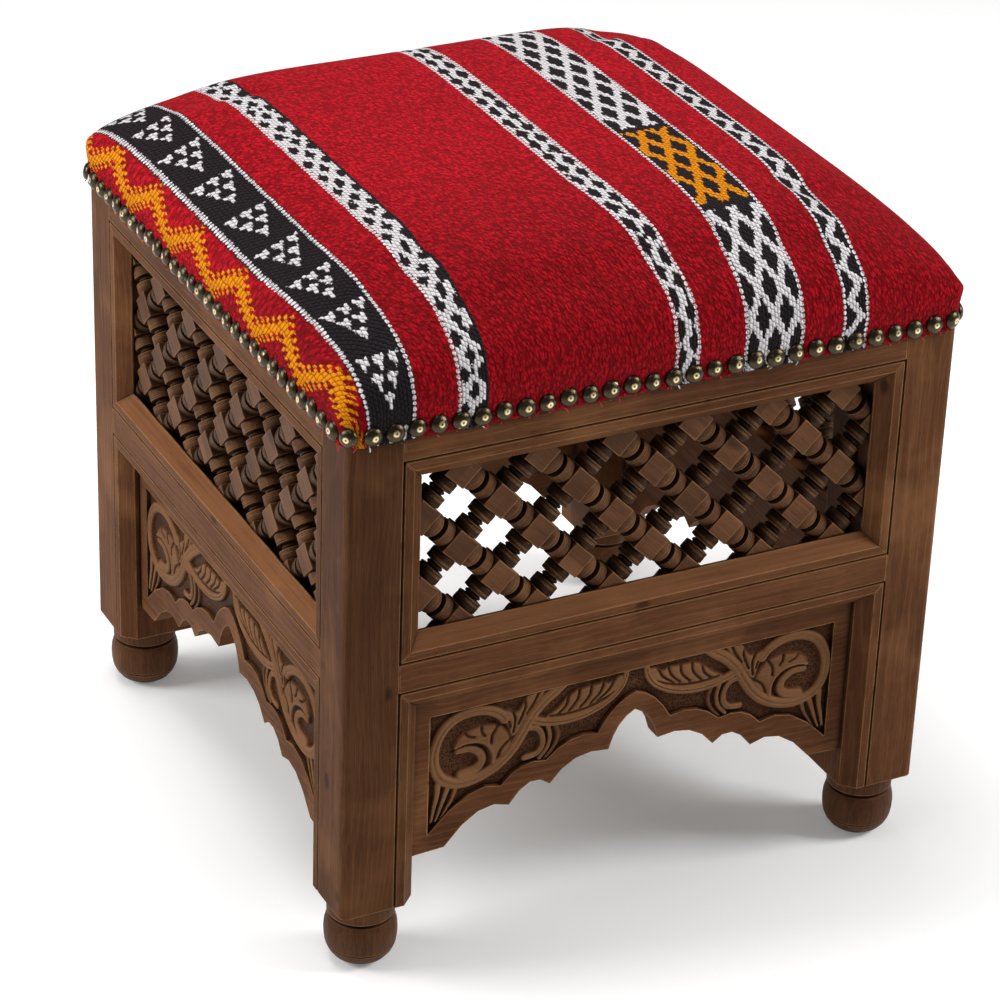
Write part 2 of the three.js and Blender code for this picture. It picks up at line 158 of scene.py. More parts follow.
class RugSettings(bpy.types.PropertyGroup):
    cut: length("Cut", "Side of a square with the area of the rug laid flat", 0.486)
    thickness: length("Thickness", "Thickness of the rug", 0.0026)
    rise: length("Rise", "Height of the crown over the seat's edge", 0.061)
    round: length("Corner", "Radius of the seat's upright corners", 0.013)
    square: number("Square", "How flat the crown is before it falls away", 4.7)
    ease: number("Ease", "How steeply the crown falls at its edge", 0.5)
    bulge: length("Bulge", "How far the rug bulges over the frame's edge", 0.0036)
    bulge_place: length("Bulge place", "Height of the bulge over the start of the crown", 0.013)
    bulge_reach: length("Bulge reach", "Height over which the bulge fades", 0.015)
    give: length("Give", "Most that the cloth may move from its first form", 0.006)
    fade: length("Fade", "Height over the frame in which the swelling grows", 0.012)
    start_lower: number("Start lower", "Share of the swelling that the first form leaves room for", 0.9)
    bead_width: length("Bead width", "Width of one weft bead", 0.0021)
    bead_length: length("Bead length", "Length of one weft bead", 0.0037)
    knot_width: length("Knot width", "Width of one tuft of wool", 0.0019)
    knot_length: length("Knot length", "Length of one tuft of wool", 0.0033)
    red: colour("Red", "Colour of the red wool", (0.670, 0.0040, 0.0165))
    bright: colour("Bright red", "Colour of the tufts that catch the light", (0.82, 0.014, 0.040))
    black: colour("Black", "Colour of the black wool", (0.016, 0.015, 0.018))
    white: colour("White", "Colour of the white wool", (0.985, 0.970, 0.985))
    orange: colour("Orange", "Colour of the orange wool", (1.000, 0.340, 0.001))
    cells: count("Cells", "Faces along a side before the cloth is softened", 72, 16)
    steps: count("Steps", "Frames of the cloth simulation", 20, 1)


class NailSettings(bpy.types.PropertyGroup):
    radius: length("Radius", "Radius of a nail's head", 0.0060)
    dome: length("Dome", "Height of the head", 0.0040)
    pitch: length("Pitch", "Distance between nails", 0.0136)
    drop: length("Drop", "Distance of the nails above the hem", 0.0065)
    brass: colour("Brass", "Colour where the head is bright", (0.860, 0.720, 0.400))
    patina: colour("Patina", "Colour where the head is dull", (0.060, 0.045, 0.027))
    yarns: count("Yarn ends", "Loose ends along the hem", 260, 0)


SETTINGS = {
    "kursi_view": ViewSettings,
    "kursi_wood": WoodSettings,
    "kursi_lattice": LatticeSettings,
    "kursi_foot": FootSettings,
    "kursi_carving": CarvingSettings,
    "kursi_rug": RugSettings,
    "kursi_nail": NailSettings,
}


# Node helpers

def plug(tree, target, value):
    """Sets an input to a number, or links it to what feeds it."""
    if isinstance(value, Wire):
        value = value.socket
    if isinstance(value, bpy.types.NodeSocket):
        tree.links.new(value, target)
    else:
        target.default_value = value


class Wire:
    """A number that flows through a node tree, so that formulas read as sums."""

    def __init__(self, tree, socket):
        self.tree = tree
        self.socket = socket

    def sum(self, operation, *others):
        node = self.tree.nodes.new("ShaderNodeMath")
        node.operation = operation
        for target, value in zip(node.inputs, (self, *others)):
            plug(self.tree, target, value)
        return Wire(self.tree, node.outputs[0])

    __add__ = partialmethod(sum, "ADD")
    __sub__ = partialmethod(sum, "SUBTRACT")
    __mul__ = partialmethod(sum, "MULTIPLY")
    __truediv__ = partialmethod(sum, "DIVIDE")
    __lt__ = partialmethod(sum, "LESS_THAN")
    __gt__ = partialmethod(sum, "GREATER_THAN")
    floor = partialmethod(sum, "FLOOR")
    rest = partialmethod(sum, "FRACT")
    size = partialmethod(sum, "ABSOLUTE")
    cosine = partialmethod(sum, "COSINE")
    power = partialmethod(sum, "POWER")
    least = partialmethod(sum, "MINIMUM")
    most = partialmethod(sum, "MAXIMUM")

    def within(self, high, low=0.0):
        return self.least(high).most(low)

    def ramp(self, start, gain, high=1.0):
        """Grows from nothing at a start, by a gain, and stops at high."""
        return ((self - start) * gain).within(high)

    def flipped(self):
        return (self * -1) + 1

    def from_whole(self):
        """Distance from the nearest whole number."""
        return ((self + 0.5).rest() - 0.5).size()

    def zigzag(self):
        """Runs between -1 and 1 in straight lines, once for each whole number."""
        return self.from_whole() * 4 - 1


class Graph:
    """A node tree under construction."""

    def __init__(self, tree):
        self.tree = tree

    def node(self, kind, inputs=None, **props):
        node = self.tree.nodes.new(kind)
        for key, value in props.items():
            setattr(node, key, value)
        for key, value in (inputs or {}).items():
            plug(self.tree, node.inputs[key], value)
        return node

    def sum(self, operation, first, second):
        return self.node("ShaderNodeMath", {0: first, 1: second}, operation=operation).outputs[0]

    def vector(self, operation, first, second):
        return self.node("ShaderNodeVectorMath", {0: first, 1: second}, operation=operation).outputs[0]


class Recipe(Graph):
    """A material under construction; base is its colour so far."""

    def __init__(self, name, base):
        self.material = bpy.data.materials.new(name)
        self.material.use_nodes = True
        super().__init__(self.material.node_tree)
        self.shader = self.tree.nodes["Principled BSDF"]
        self.base = base

    def wire(self, socket):
        return Wire(self.tree, socket)

    def split(self, vector):
        return [self.wire(out) for out in self.node("ShaderNodeSeparateXYZ", {0: vector}).outputs]

    def join(self, x, y, z=0.0):
        return self.node("ShaderNodeCombineXYZ", {0: x, 1: y, 2: z}).outputs[0]

    def places(self):
        """The piece's own coordinates, in millimetres."""
        coordinates = self.node("ShaderNodeTexCoord").outputs["Object"]
        return self.vector("MULTIPLY", coordinates, (1 / MM, 1 / MM, 1 / MM))

    def attribute(self, name):
        return self.wire(self.node("ShaderNodeAttribute", attribute_name=name).outputs["Fac"])

    def noise(self, vector, scale, detail=3.0, roughness=0.55):
        node = self.node("ShaderNodeTexNoise", {"Vector": vector, "Scale": scale, "Detail": detail,
                                                "Roughness": roughness})
        return self.wire(node.outputs["Fac"])

    def cells(self, vector, randomness=1.0, scale=1.0):
        """Distance from the middle of scattered cells, and a number of each cell's own."""
        node = self.node("ShaderNodeTexVoronoi", {"Vector": vector, "Scale": scale, "Randomness": randomness})
        return self.wire(node.outputs["Distance"]), self.split(node.outputs["Color"])[0]

    def lay(self, amount, tint, blend="MIX"):
        """Lays an amount of another colour over the colour so far."""
        node = self.node("ShaderNodeMix", data_type="RGBA", blend_type=blend)
        for target, value in ((0, amount), (6, self.base), (7, tint)):
            plug(self.tree, node.inputs[target], value)
        self.base = node.outputs[2]

    def dim(self, amount, tint):
        self.lay(amount, tint, "MULTIPLY")

    def bump(self, height, distance, strength=1.0, normal=None):
        node = self.node("ShaderNodeBump", {"Height": height, "Distance": distance, "Strength": strength})
        if normal is not None:
            plug(self.tree, node.inputs["Normal"], normal)
        return node.outputs[0]

    def finish(self, roughness, normal, **values):
        for key, value in (("Base Color", self.base), ("Roughness", roughness), ("Normal", normal)):
            plug(self.tree, self.shader.inputs[key], value)
        for key, value in values.items():
            self.shader.inputs[key.replace("_", " ")].default_value = value
        return self.material


def opaque(rgb, gain=1.0):
    return (rgb[0] * gain, rgb[1] * gain, rgb[2] * gain, 1.0)


# Wood

# Noise of the grain: its pace along and across the grain per millimetre, its detail and its roughness
GRAIN = {
    "slow": (0.009, 0.02, 2.0, 0.55),
    "quick": (0.045, 0.06, 2.0, 0.55),
    "streak": (0.004, 0.22, 3.0, 0.6),
    "fibres": (0.02, 1.5, 4.0, 0.65),
    "pores": (0.09, 3.4, 2.0, 0.6),
    "blotch": (0.010, 0.03, 3.0, 0.55),
}
PITH = (141.0, -263.0)    # the log's middle beside the piece, in millimetres
KNOT_PACE = (0.008, 0.016)    # knots along and across the grain, per millimetre
OWN_BLOCK = (25.0, 25.0, 25.0)    # size over which turned wood keeps one tone
EDGE_RADIUS = 1.1 * MM
WARM = (1.0, 0.74, 0.52, 1.0)    # tint of the wood's gloss


def stained_wood(name, axis, tone=1.0, turned=False, carved=False, knots=0.07, reach=0.006, lines=0.5,
                 shine=0.05, ledge_highlight=0.42):
    """Stained pine with its grain along one axis, rubbed at its edges, painted lighter on faces that look up, and
    dark in its grooves with stain and painted shade.
    """
    wood = bpy.context.scene.kursi_wood

    def tinted(rgb, gain=1.0):
        return opaque(rgb, tone * gain)

    recipe = Recipe(name, tinted(wood.dark, 1.6))
    if turned:
        place = recipe.node("ShaderNodeAttribute", attribute_name="grain_place").outputs["Vector"]
    else:
        place = recipe.places()
    parts = recipe.split(place)
    along = parts.pop("xyz".index(axis))
    across, deep = parts
    slow, quick, streak, fibres, pores, blotch = (
        recipe.noise(recipe.join(along * run, across * over, deep * over), 1.0, detail, roughness)
        for run, over, detail, roughness in GRAIN.values())
    pith = ((across - PITH[0]).power(2.0) + (deep - PITH[1]).power(2.0)).power(0.5)
    ring = ((pith + slow * 17.0 + quick * 1.6) / (wood.ring_step / MM)).rest()
    line = ((ring - 0.5).size() * -2.0 + 1.0).power(4.0)
    patch = recipe.noise(place, 0.018, 3.0)
    recipe.lay(blotch.ramp(0.30, 1.5), tinted(wood.ground, 1.15))
    recipe.lay(streak.ramp(0.46, 2.4, 0.7), tinted(wood.dark, 1.1))
    recipe.lay(line * (patch * 1.6 - 0.45).within(0.6, 0.10) * lines, tinted(wood.line))
    recipe.lay(fibres.ramp(0.42, 2.2), tinted(wood.dark))
    recipe.lay(pores.ramp(0.57, 7.0, 0.7), tinted(wood.dark, 0.5))
    recipe.lay(patch.ramp(0.52, 2.2, 0.45), tinted(wood.line, 0.8))
    run, over = KNOT_PACE
    spots, _ = recipe.cells(recipe.join(along * run, across * over, deep * over))
    recipe.lay(((spots / knots).flipped() * 3.0).within(0.8), tinted(wood.dark, 0.55))
    if turned:
        own = recipe.noise(recipe.vector("SNAP", place, OWN_BLOCK), 0.021, 0.0)
        recipe.lay(own.ramp(0.5, 3.0, 0.7), tinted(wood.dark, 0.9))
        # Painted shade: the bars that rise to the right are darker
        recipe.lay(recipe.attribute("rising") * 0.9, tinted(wood.dark, 0.42))
    normal = recipe.node("ShaderNodeNewGeometry").outputs["Normal"]
    soft = recipe.node("ShaderNodeBevel", {"Radius": EDGE_RADIUS}, samples=4).outputs[0]
    meeting = recipe.node("ShaderNodeVectorMath", {0: soft, 1: normal}, operation="DOT_PRODUCT")
    edge = (recipe.wire(meeting.outputs["Value"]).flipped() * 10.0).least(1.0)
    hollow = recipe.node("ShaderNodeAmbientOcclusion", {"Distance": reach}, samples=6)
    open_share = recipe.wire(hollow.outputs["AO"])
    rub = recipe.noise(place, 0.09, 4.0)
    # Faces that look up are painted lighter than the upright ones: painted light from above, streaked with the
    # grain
    painted_top_light = recipe.split(normal)[2].ramp(0.25, 2.0, ledge_highlight)
    recipe.lay(painted_top_light * streak.ramp(0.125, 2.4), tinted(wood.ledge_highlight))
    recipe.lay(edge * rub.ramp(0.28, 4.2, 0.9) * open_share.ramp(0.72, 5.0), tinted(wood.worn))
    depth = 2.6 if carved else 1.9
    # Stain and painted shade: darker where nearby wood hems the surface in, within the reach
    recipe.lay((open_share.flipped() * depth - 0.22).within(0.96), opaque(wood.crevice_stain_and_shade))
    height = fibres * 0.5 + line * 0.35 + pores * -0.25
    if carved:
        carving = bpy.context.scene.kursi_carving
        level = recipe.attribute("level")
        low = level.flipped()
        dots, _ = recipe.cells(recipe.places(), 0.8, MM / carving.punch)
        hole = (dots < 0.40) * (low * 6.0 - 5.0).within(1.0)
        recipe.lay(level.ramp(0.55, 1.5, 0.34), opaque(carving.crest))
        recipe.lay((low * 1.7 - 0.5).within(0.55), tinted(wood.dark, 0.6))
        recipe.lay(hole * 0.85, opaque(wood.crevice_stain_and_shade))
        height = height + hole * -3.0
    gloss = fibres * 0.25 + (0.46 - shine * 0.5)
    return recipe.finish(gloss, recipe.bump(height, 0.25 * MM, 0.9, soft), Specular_IOR_Level=shine,
                         Specular_Tint=WARM)


def bare_pine(name):
    raw = bpy.context.scene.kursi_wood.raw
    recipe = Recipe(name, opaque(raw))
    place = recipe.places()
    x, y, z = recipe.split(place)
    streaks = recipe.noise(recipe.join(x * 0.01, y * 0.3, z * 0.3), 1.0, 4.0)
    recipe.lay(streaks, opaque(raw, 0.62))
    recipe.lay(recipe.noise(place, 0.02, 2.0).ramp(0.55, 1.5), opaque(raw, 0.45))
    return recipe.finish(streaks * 0.2 + 0.6, recipe.bump(streaks, 0.2 * MM))


# Mesh helpers

def new_object(name, data):
    obj = bpy.data.objects.new(name, data)
    bpy.context.scene.collection.objects.link(obj)
    return obj


def piece(name, vertices, faces):
    mesh = bpy.data.meshes.new(name)
    mesh.from_pydata([tuple(v) for v in vertices], [], [tuple(f) for f in faces])
    mesh.update()
    return new_object(name, mesh)


def softened(mesh, degrees):
    mesh.shade_smooth()
    mesh.set_sharp_from_angle(angle=math.radians(degrees))


def store(mesh, name, values, kind="FLOAT", key="value"):
    """Gives each point of a mesh a value of its own."""
    data = mesh.attributes.new(name, kind, "POINT").data
    data.foreach_set(key, np.array(values, np.float32).ravel())


def turned_mesh(profile, segments):
    """Vertices and faces of a closed turned form about +Z; the profile is (radius, height) from one
    end to the other, and its ends are closed with a point on the axis."""
    rings = [(r, z) for r, z in profile if r > 0]
    angles = np.linspace(0, 2 * math.pi, segments, endpoint=False)
    vertices = [(0.0, 0.0, profile[0][1])]
    for radius, height in rings:
        vertices += [(radius * math.cos(a), radius * math.sin(a), height) for a in angles]
    vertices.append((0.0, 0.0, profile[-1][1]))
    last = len(vertices) - 1
    top = last - segments
    faces = []
    for i in range(segments):
        j = (i + 1) % segments
        faces.append((0, 1 + j, 1 + i))
        for low in range(1, top, segments):
            faces.append((low + i, low + j, low + segments + j, low + segments + i))
        faces.append((top + i, top + j, last))
    return vertices, faces


def grid_faces(columns, rows):
    """The numbers of a grid's points, its faces, and the numbers round its rim."""
    index = np.arange((columns + 1) * (rows + 1)).reshape(columns + 1, rows + 1)
    quads = np.stack([index[:-1, :-1], index[1:, :-1], index[1:, 1:], index[:-1, 1:]], -1)
    rim = np.concatenate([index[:-1, 0], index[-1, :-1], index[:0:-1, -1], index[0, :0:-1]])
    return index, quads.reshape(-1, 4).tolist(), rim


def set_material(obj, material):
    obj.data.materials.clear()
    obj.data.materials.append(material)


def side_turn(turn):
    return Matrix.Rotation(turn * math.pi / 2, 4, "Z")


def ride_as(obj, slot, *nodes):
    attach(obj, "root")
    if nodes:
        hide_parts(*nodes)


def result_mesh(obj, name):
    """The mesh that an object's modifiers give."""
    bpy.context.view_layer.update()
    graph = bpy.context.evaluated_depsgraph_get()
    mesh = bpy.data.meshes.new_from_object(obj.evaluated_get(graph), depsgraph=graph)
    mesh.name = name
    return mesh


def reshaped(obj, kind, **settings):
    """Gives an object the mesh that one modifier makes of it."""
    modifier = obj.modifiers.new(kind.lower(), kind)
    for key, value in settings.items():
        setattr(modifier, key, value)
    mesh = result_mesh(obj, obj.name)
    obj.modifiers.remove(modifier)
    old = obj.data
    obj.data = mesh
    bpy.data.meshes.remove(old)
    mesh.name = obj.name


class GrowthTree(Graph):
    """A Geometry Nodes tree with named inputs."""

    def __init__(self, name):
        super().__init__(bpy.data.node_groups.new(name, "GeometryNodeTree"))
        for way in ("INPUT", "OUTPUT"):
            self.tree.interface.new_socket("Geometry", in_out=way, socket_type="NodeSocketGeometry")
        self.entry = self.tree.nodes.new("NodeGroupInput")
        self.exit = self.tree.nodes.new("NodeGroupOutput")

    def inputs(self, **kinds):
        """Adds inputs by name and kind, and gives what leads out of each."""
        for name, kind in kinds.items():
            self.tree.interface.new_socket(name, in_out="INPUT", socket_type=f"NodeSocket{kind}")
        return [self.entry.outputs[name] for name in kinds]

    def random(self, low, high, seed, **more):
        """A number or a vector of each element's own."""
        wide = isinstance(low, tuple)
        node = self.node("FunctionNodeRandomValue", {"Min": low, "Max": high, "Seed": seed, **more},
                         data_type="FLOAT_VECTOR" if wide else "FLOAT")
        return node.outputs[0 if wide else 1]

    def turn_about(self, axis, amount):
        return self.node("FunctionNodeAxisAngleToRotation", {"Axis": axis, "Angle": amount}).outputs[0]

    def facing(self, direction, axis):
        return self.node("FunctionNodeAlignRotationToVector", {"Vector": direction}, axis=axis).outputs[0]

    def store(self, geometry, name, value, kind):
        return self.node("GeometryNodeStoreNamedAttribute", {"Geometry": geometry, "Name": name, "Value": value},
                         data_type=kind, domain="POINT").outputs[0]

    def plant(self, points, template, rotation, **more):
        """Puts a template on each point."""
        info = self.node("GeometryNodeObjectInfo", {"Object": template})
        inputs = {"Points": points, "Instance": info.outputs["Geometry"], "Rotation": rotation, **more}
        return self.node("GeometryNodeInstanceOnPoints", inputs).outputs[0]

    def close(self, geometry, material):
        """Ends the tree: real geometry with its material."""
        real = self.node("GeometryNodeRealizeInstances", {"Geometry": geometry})
        painted = self.node("GeometryNodeSetMaterial", {"Geometry": real.outputs[0], "Material": material})
        self.tree.links.new(painted.outputs[0], self.exit.inputs[0])

    def grow(self, obj, values, name):
        """The plain mesh that the tree makes from an object and the values of its inputs."""
        modifier = obj.modifiers.new(self.tree.name, "NODES")
        modifier.node_group = self.tree
        sockets = {s.name: s.identifier for s in self.tree.interface.items_tree if s.in_out == "INPUT"}
        for key, value in values.items():
            modifier[sockets[key]] = value
        mesh = result_mesh(obj, name)
        obj.modifiers.remove(modifier)
        return mesh


# Lattice

def bar_profile(lattice):
    """Half of a bar's outline from inside its block to its middle, then mirrored."""
    middle = (lattice.pitch / math.sqrt(2) - lattice.block) / 2
    line = middle - lattice.line_place
    lip = middle - lattice.groove_width / 2
    drum, step = lattice.drum, lattice.step
    half_line = lattice.line_depth * 0.6
    half = [
        (drum - step, -lattice.block / 8),
        (drum - step, step * 0.55),
        (drum - step * 0.2, step * 0.75),
        (drum, step * 1.1),
        (drum, line - half_line),
        (drum - lattice.line_depth, line),
        (drum - half_line * 0.3, line + half_line),
        (drum - half_line * 0.3, lip - half_line),
        (drum - half_line, lip),
        (drum - lattice.groove, middle - lattice.groove_width * 0.34),
        (drum - lattice.bead, middle - lattice.groove_width * 0.15),
    ]
    outline = [(r, z - middle) for r, z in half] + [(r, middle - z) for r, z in reversed(half)]
    return [(0.0, outline[0][1]), *outline, (0.0, outline[-1][1])]


def lattice_templates(lattice):
    """A bar lying along +X and a block, each carrying its own coordinates for the grain."""
    vertices, faces = turned_mesh(bar_profile(lattice), lattice.segments)
    bar = piece("bar", [(z, x, y) for x, y, z in vertices], faces)
    softened(bar.data, 32)
    mesh = bpy.data.meshes.new("block")
    form = bmesh.new()
    bmesh.ops.create_cube(form, size=lattice.block)
    bmesh.ops.bevel(form, geom=form.edges[:], offset=lattice.chamfer, segments=2, affect="EDGES", profile=0.5)
    form.to_mesh(mesh)
    form.free()
    block = new_object("block", mesh)
    for template in (bar, block):
        grain_place = [vertex.co / MM for vertex in template.data.vertices]
        store(template.data, "grain_place", grain_place, "FLOAT_VECTOR", "vector")
    return bar, block


def lattice_tree(material):
    """A square grid on its corner: a block on each point and a bar on each edge."""
    growth = GrowthTree("Lattice net")
    cells, spacing, shift, bar, block = growth.inputs(Cells="Int", Spacing="Float", Shift="Vector",
                                                      Bar="Object", Block="Object")
    lines = growth.sum("ADD", cells, 1.0)
    reach = growth.sum("MULTIPLY", cells, spacing)
    grid = growth.node("GeometryNodeMeshGrid", {"Size X": reach, "Size Y": reach, "Vertices X": lines,
                                                "Vertices Y": lines})
    turned = growth.node("GeometryNodeTransform", {"Geometry": grid.outputs["Mesh"],
                                                   "Rotation": (0.0, 0.0, math.pi / 4)})
    net = growth.node("GeometryNodeTransform", {"Geometry": turned.outputs[0], "Translation": shift,
                                                "Rotation": (math.pi / 2, 0.0, 0.0)}).outputs[0]
    ends = growth.node("GeometryNodeInputMeshEdgeVertices")
    kept = growth.node("GeometryNodeCaptureAttribute", {"Geometry": net}, domain="EDGE")
    kept.capture_items.new("VECTOR", "Along")
    plug(growth.tree, kept.inputs["Along"],
         growth.vector("SUBTRACT", ends.outputs["Position 2"], ends.outputs["Position 1"]))
    along = kept.outputs["Along"]
    points = growth.node("GeometryNodeMeshToPoints", {"Mesh": kept.outputs["Geometry"]}, mode="EDGES")
    # The bars that rise to the right are marked, to be painted darker as shade
    way = growth.node("ShaderNodeSeparateXYZ", {0: along})
    rising = growth.sum("GREATER_THAN", growth.sum("MULTIPLY", way.outputs[0], way.outputs[2]), 0.0)
    marked = growth.store(points.outputs[0], "rising", rising, "FLOAT")
    spin = growth.turn_about((1.0, 0.0, 0.0), growth.random(-3.14, 3.14, 4))
    rotation = growth.node("FunctionNodeRotateRotation", {"Rotation": growth.facing(along, "X"),
                                                          "Rotate By": spin}, rotation_space="LOCAL")
    bars = growth.plant(marked, bar, rotation.outputs[0])
    blocks = growth.plant(net, block, growth.turn_about((0.0, 1.0, 0.0), math.pi / 4))
    both = growth.node("GeometryNodeJoinGeometry")
    for made in (bars, blocks):
        growth.tree.links.new(made, both.inputs[0])
    real = growth.node("GeometryNodeRealizeInstances", {"Geometry": both.outputs[0]})
    # Each piece of wood has grain of its own
    island = growth.node("GeometryNodeInputMeshIsland").outputs["Island Index"]
    offset = growth.random((-400.0, -400.0, -400.0), (400.0, 400.0, 400.0), 11, ID=island)
    read = growth.node("GeometryNodeInputNamedAttribute", {"Name": "grain_place"}, data_type="FLOAT_VECTOR")
    moved = growth.vector("ADD", read.outputs[0], offset)
    growth.close(growth.store(real.outputs[0], "grain_place", moved, "FLOAT_VECTOR"), material)
    return growth


def trimmed(mesh, planes):
    """Cuts a mesh of closed bodies at the planes, and closes what was cut."""
    form = bmesh.new()
    form.from_mesh(mesh)
    for point, outward in planes:
        everything = form.verts[:] + form.edges[:] + form.faces[:]
        cut = bmesh.ops.bisect_plane(form, geom=everything, dist=1e-7, plane_co=point, plane_no=outward,
                                     clear_outer=True)
        rim = [e for e in cut["geom_cut"] if isinstance(e, bmesh.types.BMEdge) and e.is_valid]
        bmesh.ops.holes_fill(form, edges=rim, sides=0)
    bmesh.ops.recalc_face_normals(form, faces=form.faces[:])
    form.to_mesh(mesh)
    form.free()
    mesh.update()


class KURSI_OT_lattices(bpy.types.Operator):
    """Makes the four lattices of square blocks and turned bars"""
    bl_idname = "kursi.lattices"
    bl_label = "Lattices"

    def execute(self, context):
        lattice = context.scene.kursi_lattice
        bar, block = lattice_templates(lattice)
        wood = stained_wood("turned walnut", "x", 0.95, turned=True, knots=0.16, reach=0.016, lines=0.15,
                            shine=0.14, ledge_highlight=0.0)
        growth = lattice_tree(wood)
        low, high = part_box("lattice_front")
        middle_z = (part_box("mid_rail_front")[1].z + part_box("top_rail_front")[0].z) / 2
        middle = Matrix.Translation((0.0, (low.y + high.y) / 2, middle_z))
        cells = 2 * math.ceil((high.x - low.x) / lattice.pitch / 2 + 2) + 2
        edges = [((low.x, 0, 0), (-1, 0, 0)), ((high.x, 0, 0), (1, 0, 0)),
                 ((0, 0, low.z), (0, 0, -1)), ((0, 0, high.z), (0, 0, 1))]
        for turn, side in enumerate(SIDES):
            shift = lattice.front_shift if turn % 2 == 0 else lattice.side_shift
            values = {"Cells": cells, "Spacing": lattice.pitch / math.sqrt(2),
                      "Shift": (shift[0], 0.0, shift[1]), "Bar": bar, "Block": block}
            host = new_object("net", bpy.data.meshes.new("net"))
            mesh = growth.grow(host, values, f"turned_lattice_{side}")
            bpy.data.objects.remove(host)
            mesh.transform(middle)
            trimmed(mesh, edges)
            mesh.transform(side_turn(turn))
            ride_as(new_object(f"turned_lattice_{side}", mesh), "lattice_wood", f"lattice_{side}")
        for template in (bar, block):
            bpy.data.objects.remove(template)
        return {"FINISHED"}


# Feet

def foot_profile(foot, top, shoulder):
    """Outline of a bun foot from the floor to the top of its dowel."""
    bun, neck, lip = foot.bun, foot.neck, foot.line_depth
    line, quirk = shoulder * 0.25, shoulder * 0.72
    return [
        (0.0, 0.0),
        (foot.base, 0.0),
        (bun * 0.60, shoulder * 0.022),
        (bun * 0.76, shoulder * 0.080),
        (bun * 0.88, shoulder * 0.160),
        (bun * 0.945, line - lip),
        (bun * 0.955 - lip, line),
        (bun * 0.962, line + lip),
        (bun * 0.99, shoulder * 0.36),
        (bun, shoulder * 0.46),
        (bun * 0.985, shoulder * 0.56),
        (bun * 0.945, shoulder * 0.64),
        (neck - foot.quirk * 0.3, quirk - lip * 1.5),
        (neck - foot.quirk, quirk),
        (neck - foot.quirk * 0.6, quirk + lip),
        (neck, quirk + lip * 2.5),
        (neck, shoulder),
        (foot.dowel, shoulder),
        (foot.dowel, top),
        (0.0, top),
    ]


class KURSI_OT_feet(bpy.types.Operator):
    """Makes the four turned bun feet"""
    bl_idname = "kursi.feet"
    bl_label = "Feet"

    def execute(self, context):
        foot = context.scene.kursi_foot
        wood = stained_wood("foot walnut", "z", 0.78, shine=0.12, ledge_highlight=0.0)
        for corner in CORNERS:
            low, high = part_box(f"bun_foot_{corner}")
            under_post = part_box(f"post_{corner}")[0].z - 0.3 * MM
            vertices, faces = turned_mesh(foot_profile(foot, high.z, under_post), foot.segments)
            obj = piece(f"turned_foot_{corner}", vertices, faces)
            middle = (low + high) / 2
            obj.data.transform(Matrix.Translation((middle.x, middle.y, 0.0)))
            softened(obj.data, 34)
            set_material(obj, wood)
            ride_as(obj, "foot_wood", f"bun_foot_{corner}")
        return {"FINISHED"}


# Frame

class KURSI_OT_frame_finish(bpy.types.Operator):
    """Gives the frame's wood its stain, grain and rubbed edges"""
    bl_idname = "kursi.frame_finish"
    bl_label = "Frame finish"

    def execute(self, context):
        upright = stained_wood("upright walnut", "z")
        # The near front post gets painted shade: the same wood, darker
        near = stained_wood("darker upright walnut", "z", 0.72)
        lengthwise = {"x": stained_wood("cross walnut", "x"), "y": stained_wood("deep walnut", "y")}
        pine = bare_pine("bare pine")
        for name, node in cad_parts.items():
            side = name.rsplit("_", 1)[-1]
            if name.startswith("post"):
                set_material(node, near if name == "post_front_left" else upright)
            elif name.startswith(("top_rail", "mid_rail", "carved_apron")):
                set_material(node, lengthwise["x" if side in ("front", "back") else "y"])
            elif name.startswith(("seat_cleat", "seat_board")):
                set_material(node, pine)
        return {"FINISHED"}


# Carving: outlines in millimetres on the right half of an apron, x from its middle and z from the floor.
# A stem is its line, half width at both ends, height and the depth of the groove along its middle.
STEMS = (
    (((50, 168), (55, 163.8), (62.8, 158), (70.5, 149.5), (77, 138.5), (83, 129.4), (91, 121.7), (101.5, 116.2),
      (112.8, 113.8), (122.8, 115.4), (130.4, 120.6), (134.6, 129.4), (135.2, 139.4), (132.6, 148.6),
      (127.4, 156.3), (119, 161.2), (109, 162.6), (99.4, 160.8), (92, 156.4), (88.6, 152)), 4.9, 4.0, 1.0, 0.26),
    (((6.8, 166), (8.6, 158.5), (13.4, 151.8), (21.5, 146.4), (32, 142.4), (44, 140.8), (55, 141.6), (64, 144),
      (72, 147.5)), 2.6, 3.8, 0.94, 0.30),
    (((121.6, 139.8), (115, 141.6), (106.4, 140.6), (100, 136.8), (96.2, 130.4), (95.6, 122.4)), 1.1, 1.5, 0.9,
     0.0),
    (((119.5, 136.8), (111.5, 136.6), (104.8, 132.2), (103.2, 126.4), (107.4, 121.4), (116.5, 119.4)), 2.6, 4.6,
     0.84, 0.12),
    (((73, 141.5), (66.6, 140), (63, 134.4), (62.6, 127.6), (66.4, 122.2), (74.5, 121)), 2.3, 2.7, 0.9, 0.2),
    (((59.2, 139.4), (57.6, 132.4), (59.2, 124.6), (64.4, 118.2)), 2.0, 1.8, 0.82, 0.15),
    (((53.6, 138.6), (51.8, 131.6), (54.4, 123.6), (60.4, 116.6)), 2.2, 1.6, 0.6, 0.1),
    (((132.2, 117), (132.6, 109), (134.4, 100.6), (136.2, 91.5)), 2.8, 1.2, 0.92, 0.18),
    (((125.8, 112), (128.2, 105), (130.6, 98), (133.2, 91)), 2.5, 1.1, 0.82, 0.12),
    (((120.2, 110.6), (122.6, 103.6), (126.2, 97.4), (130, 91)), 2.1, 1.0, 0.7, 0.1),
)
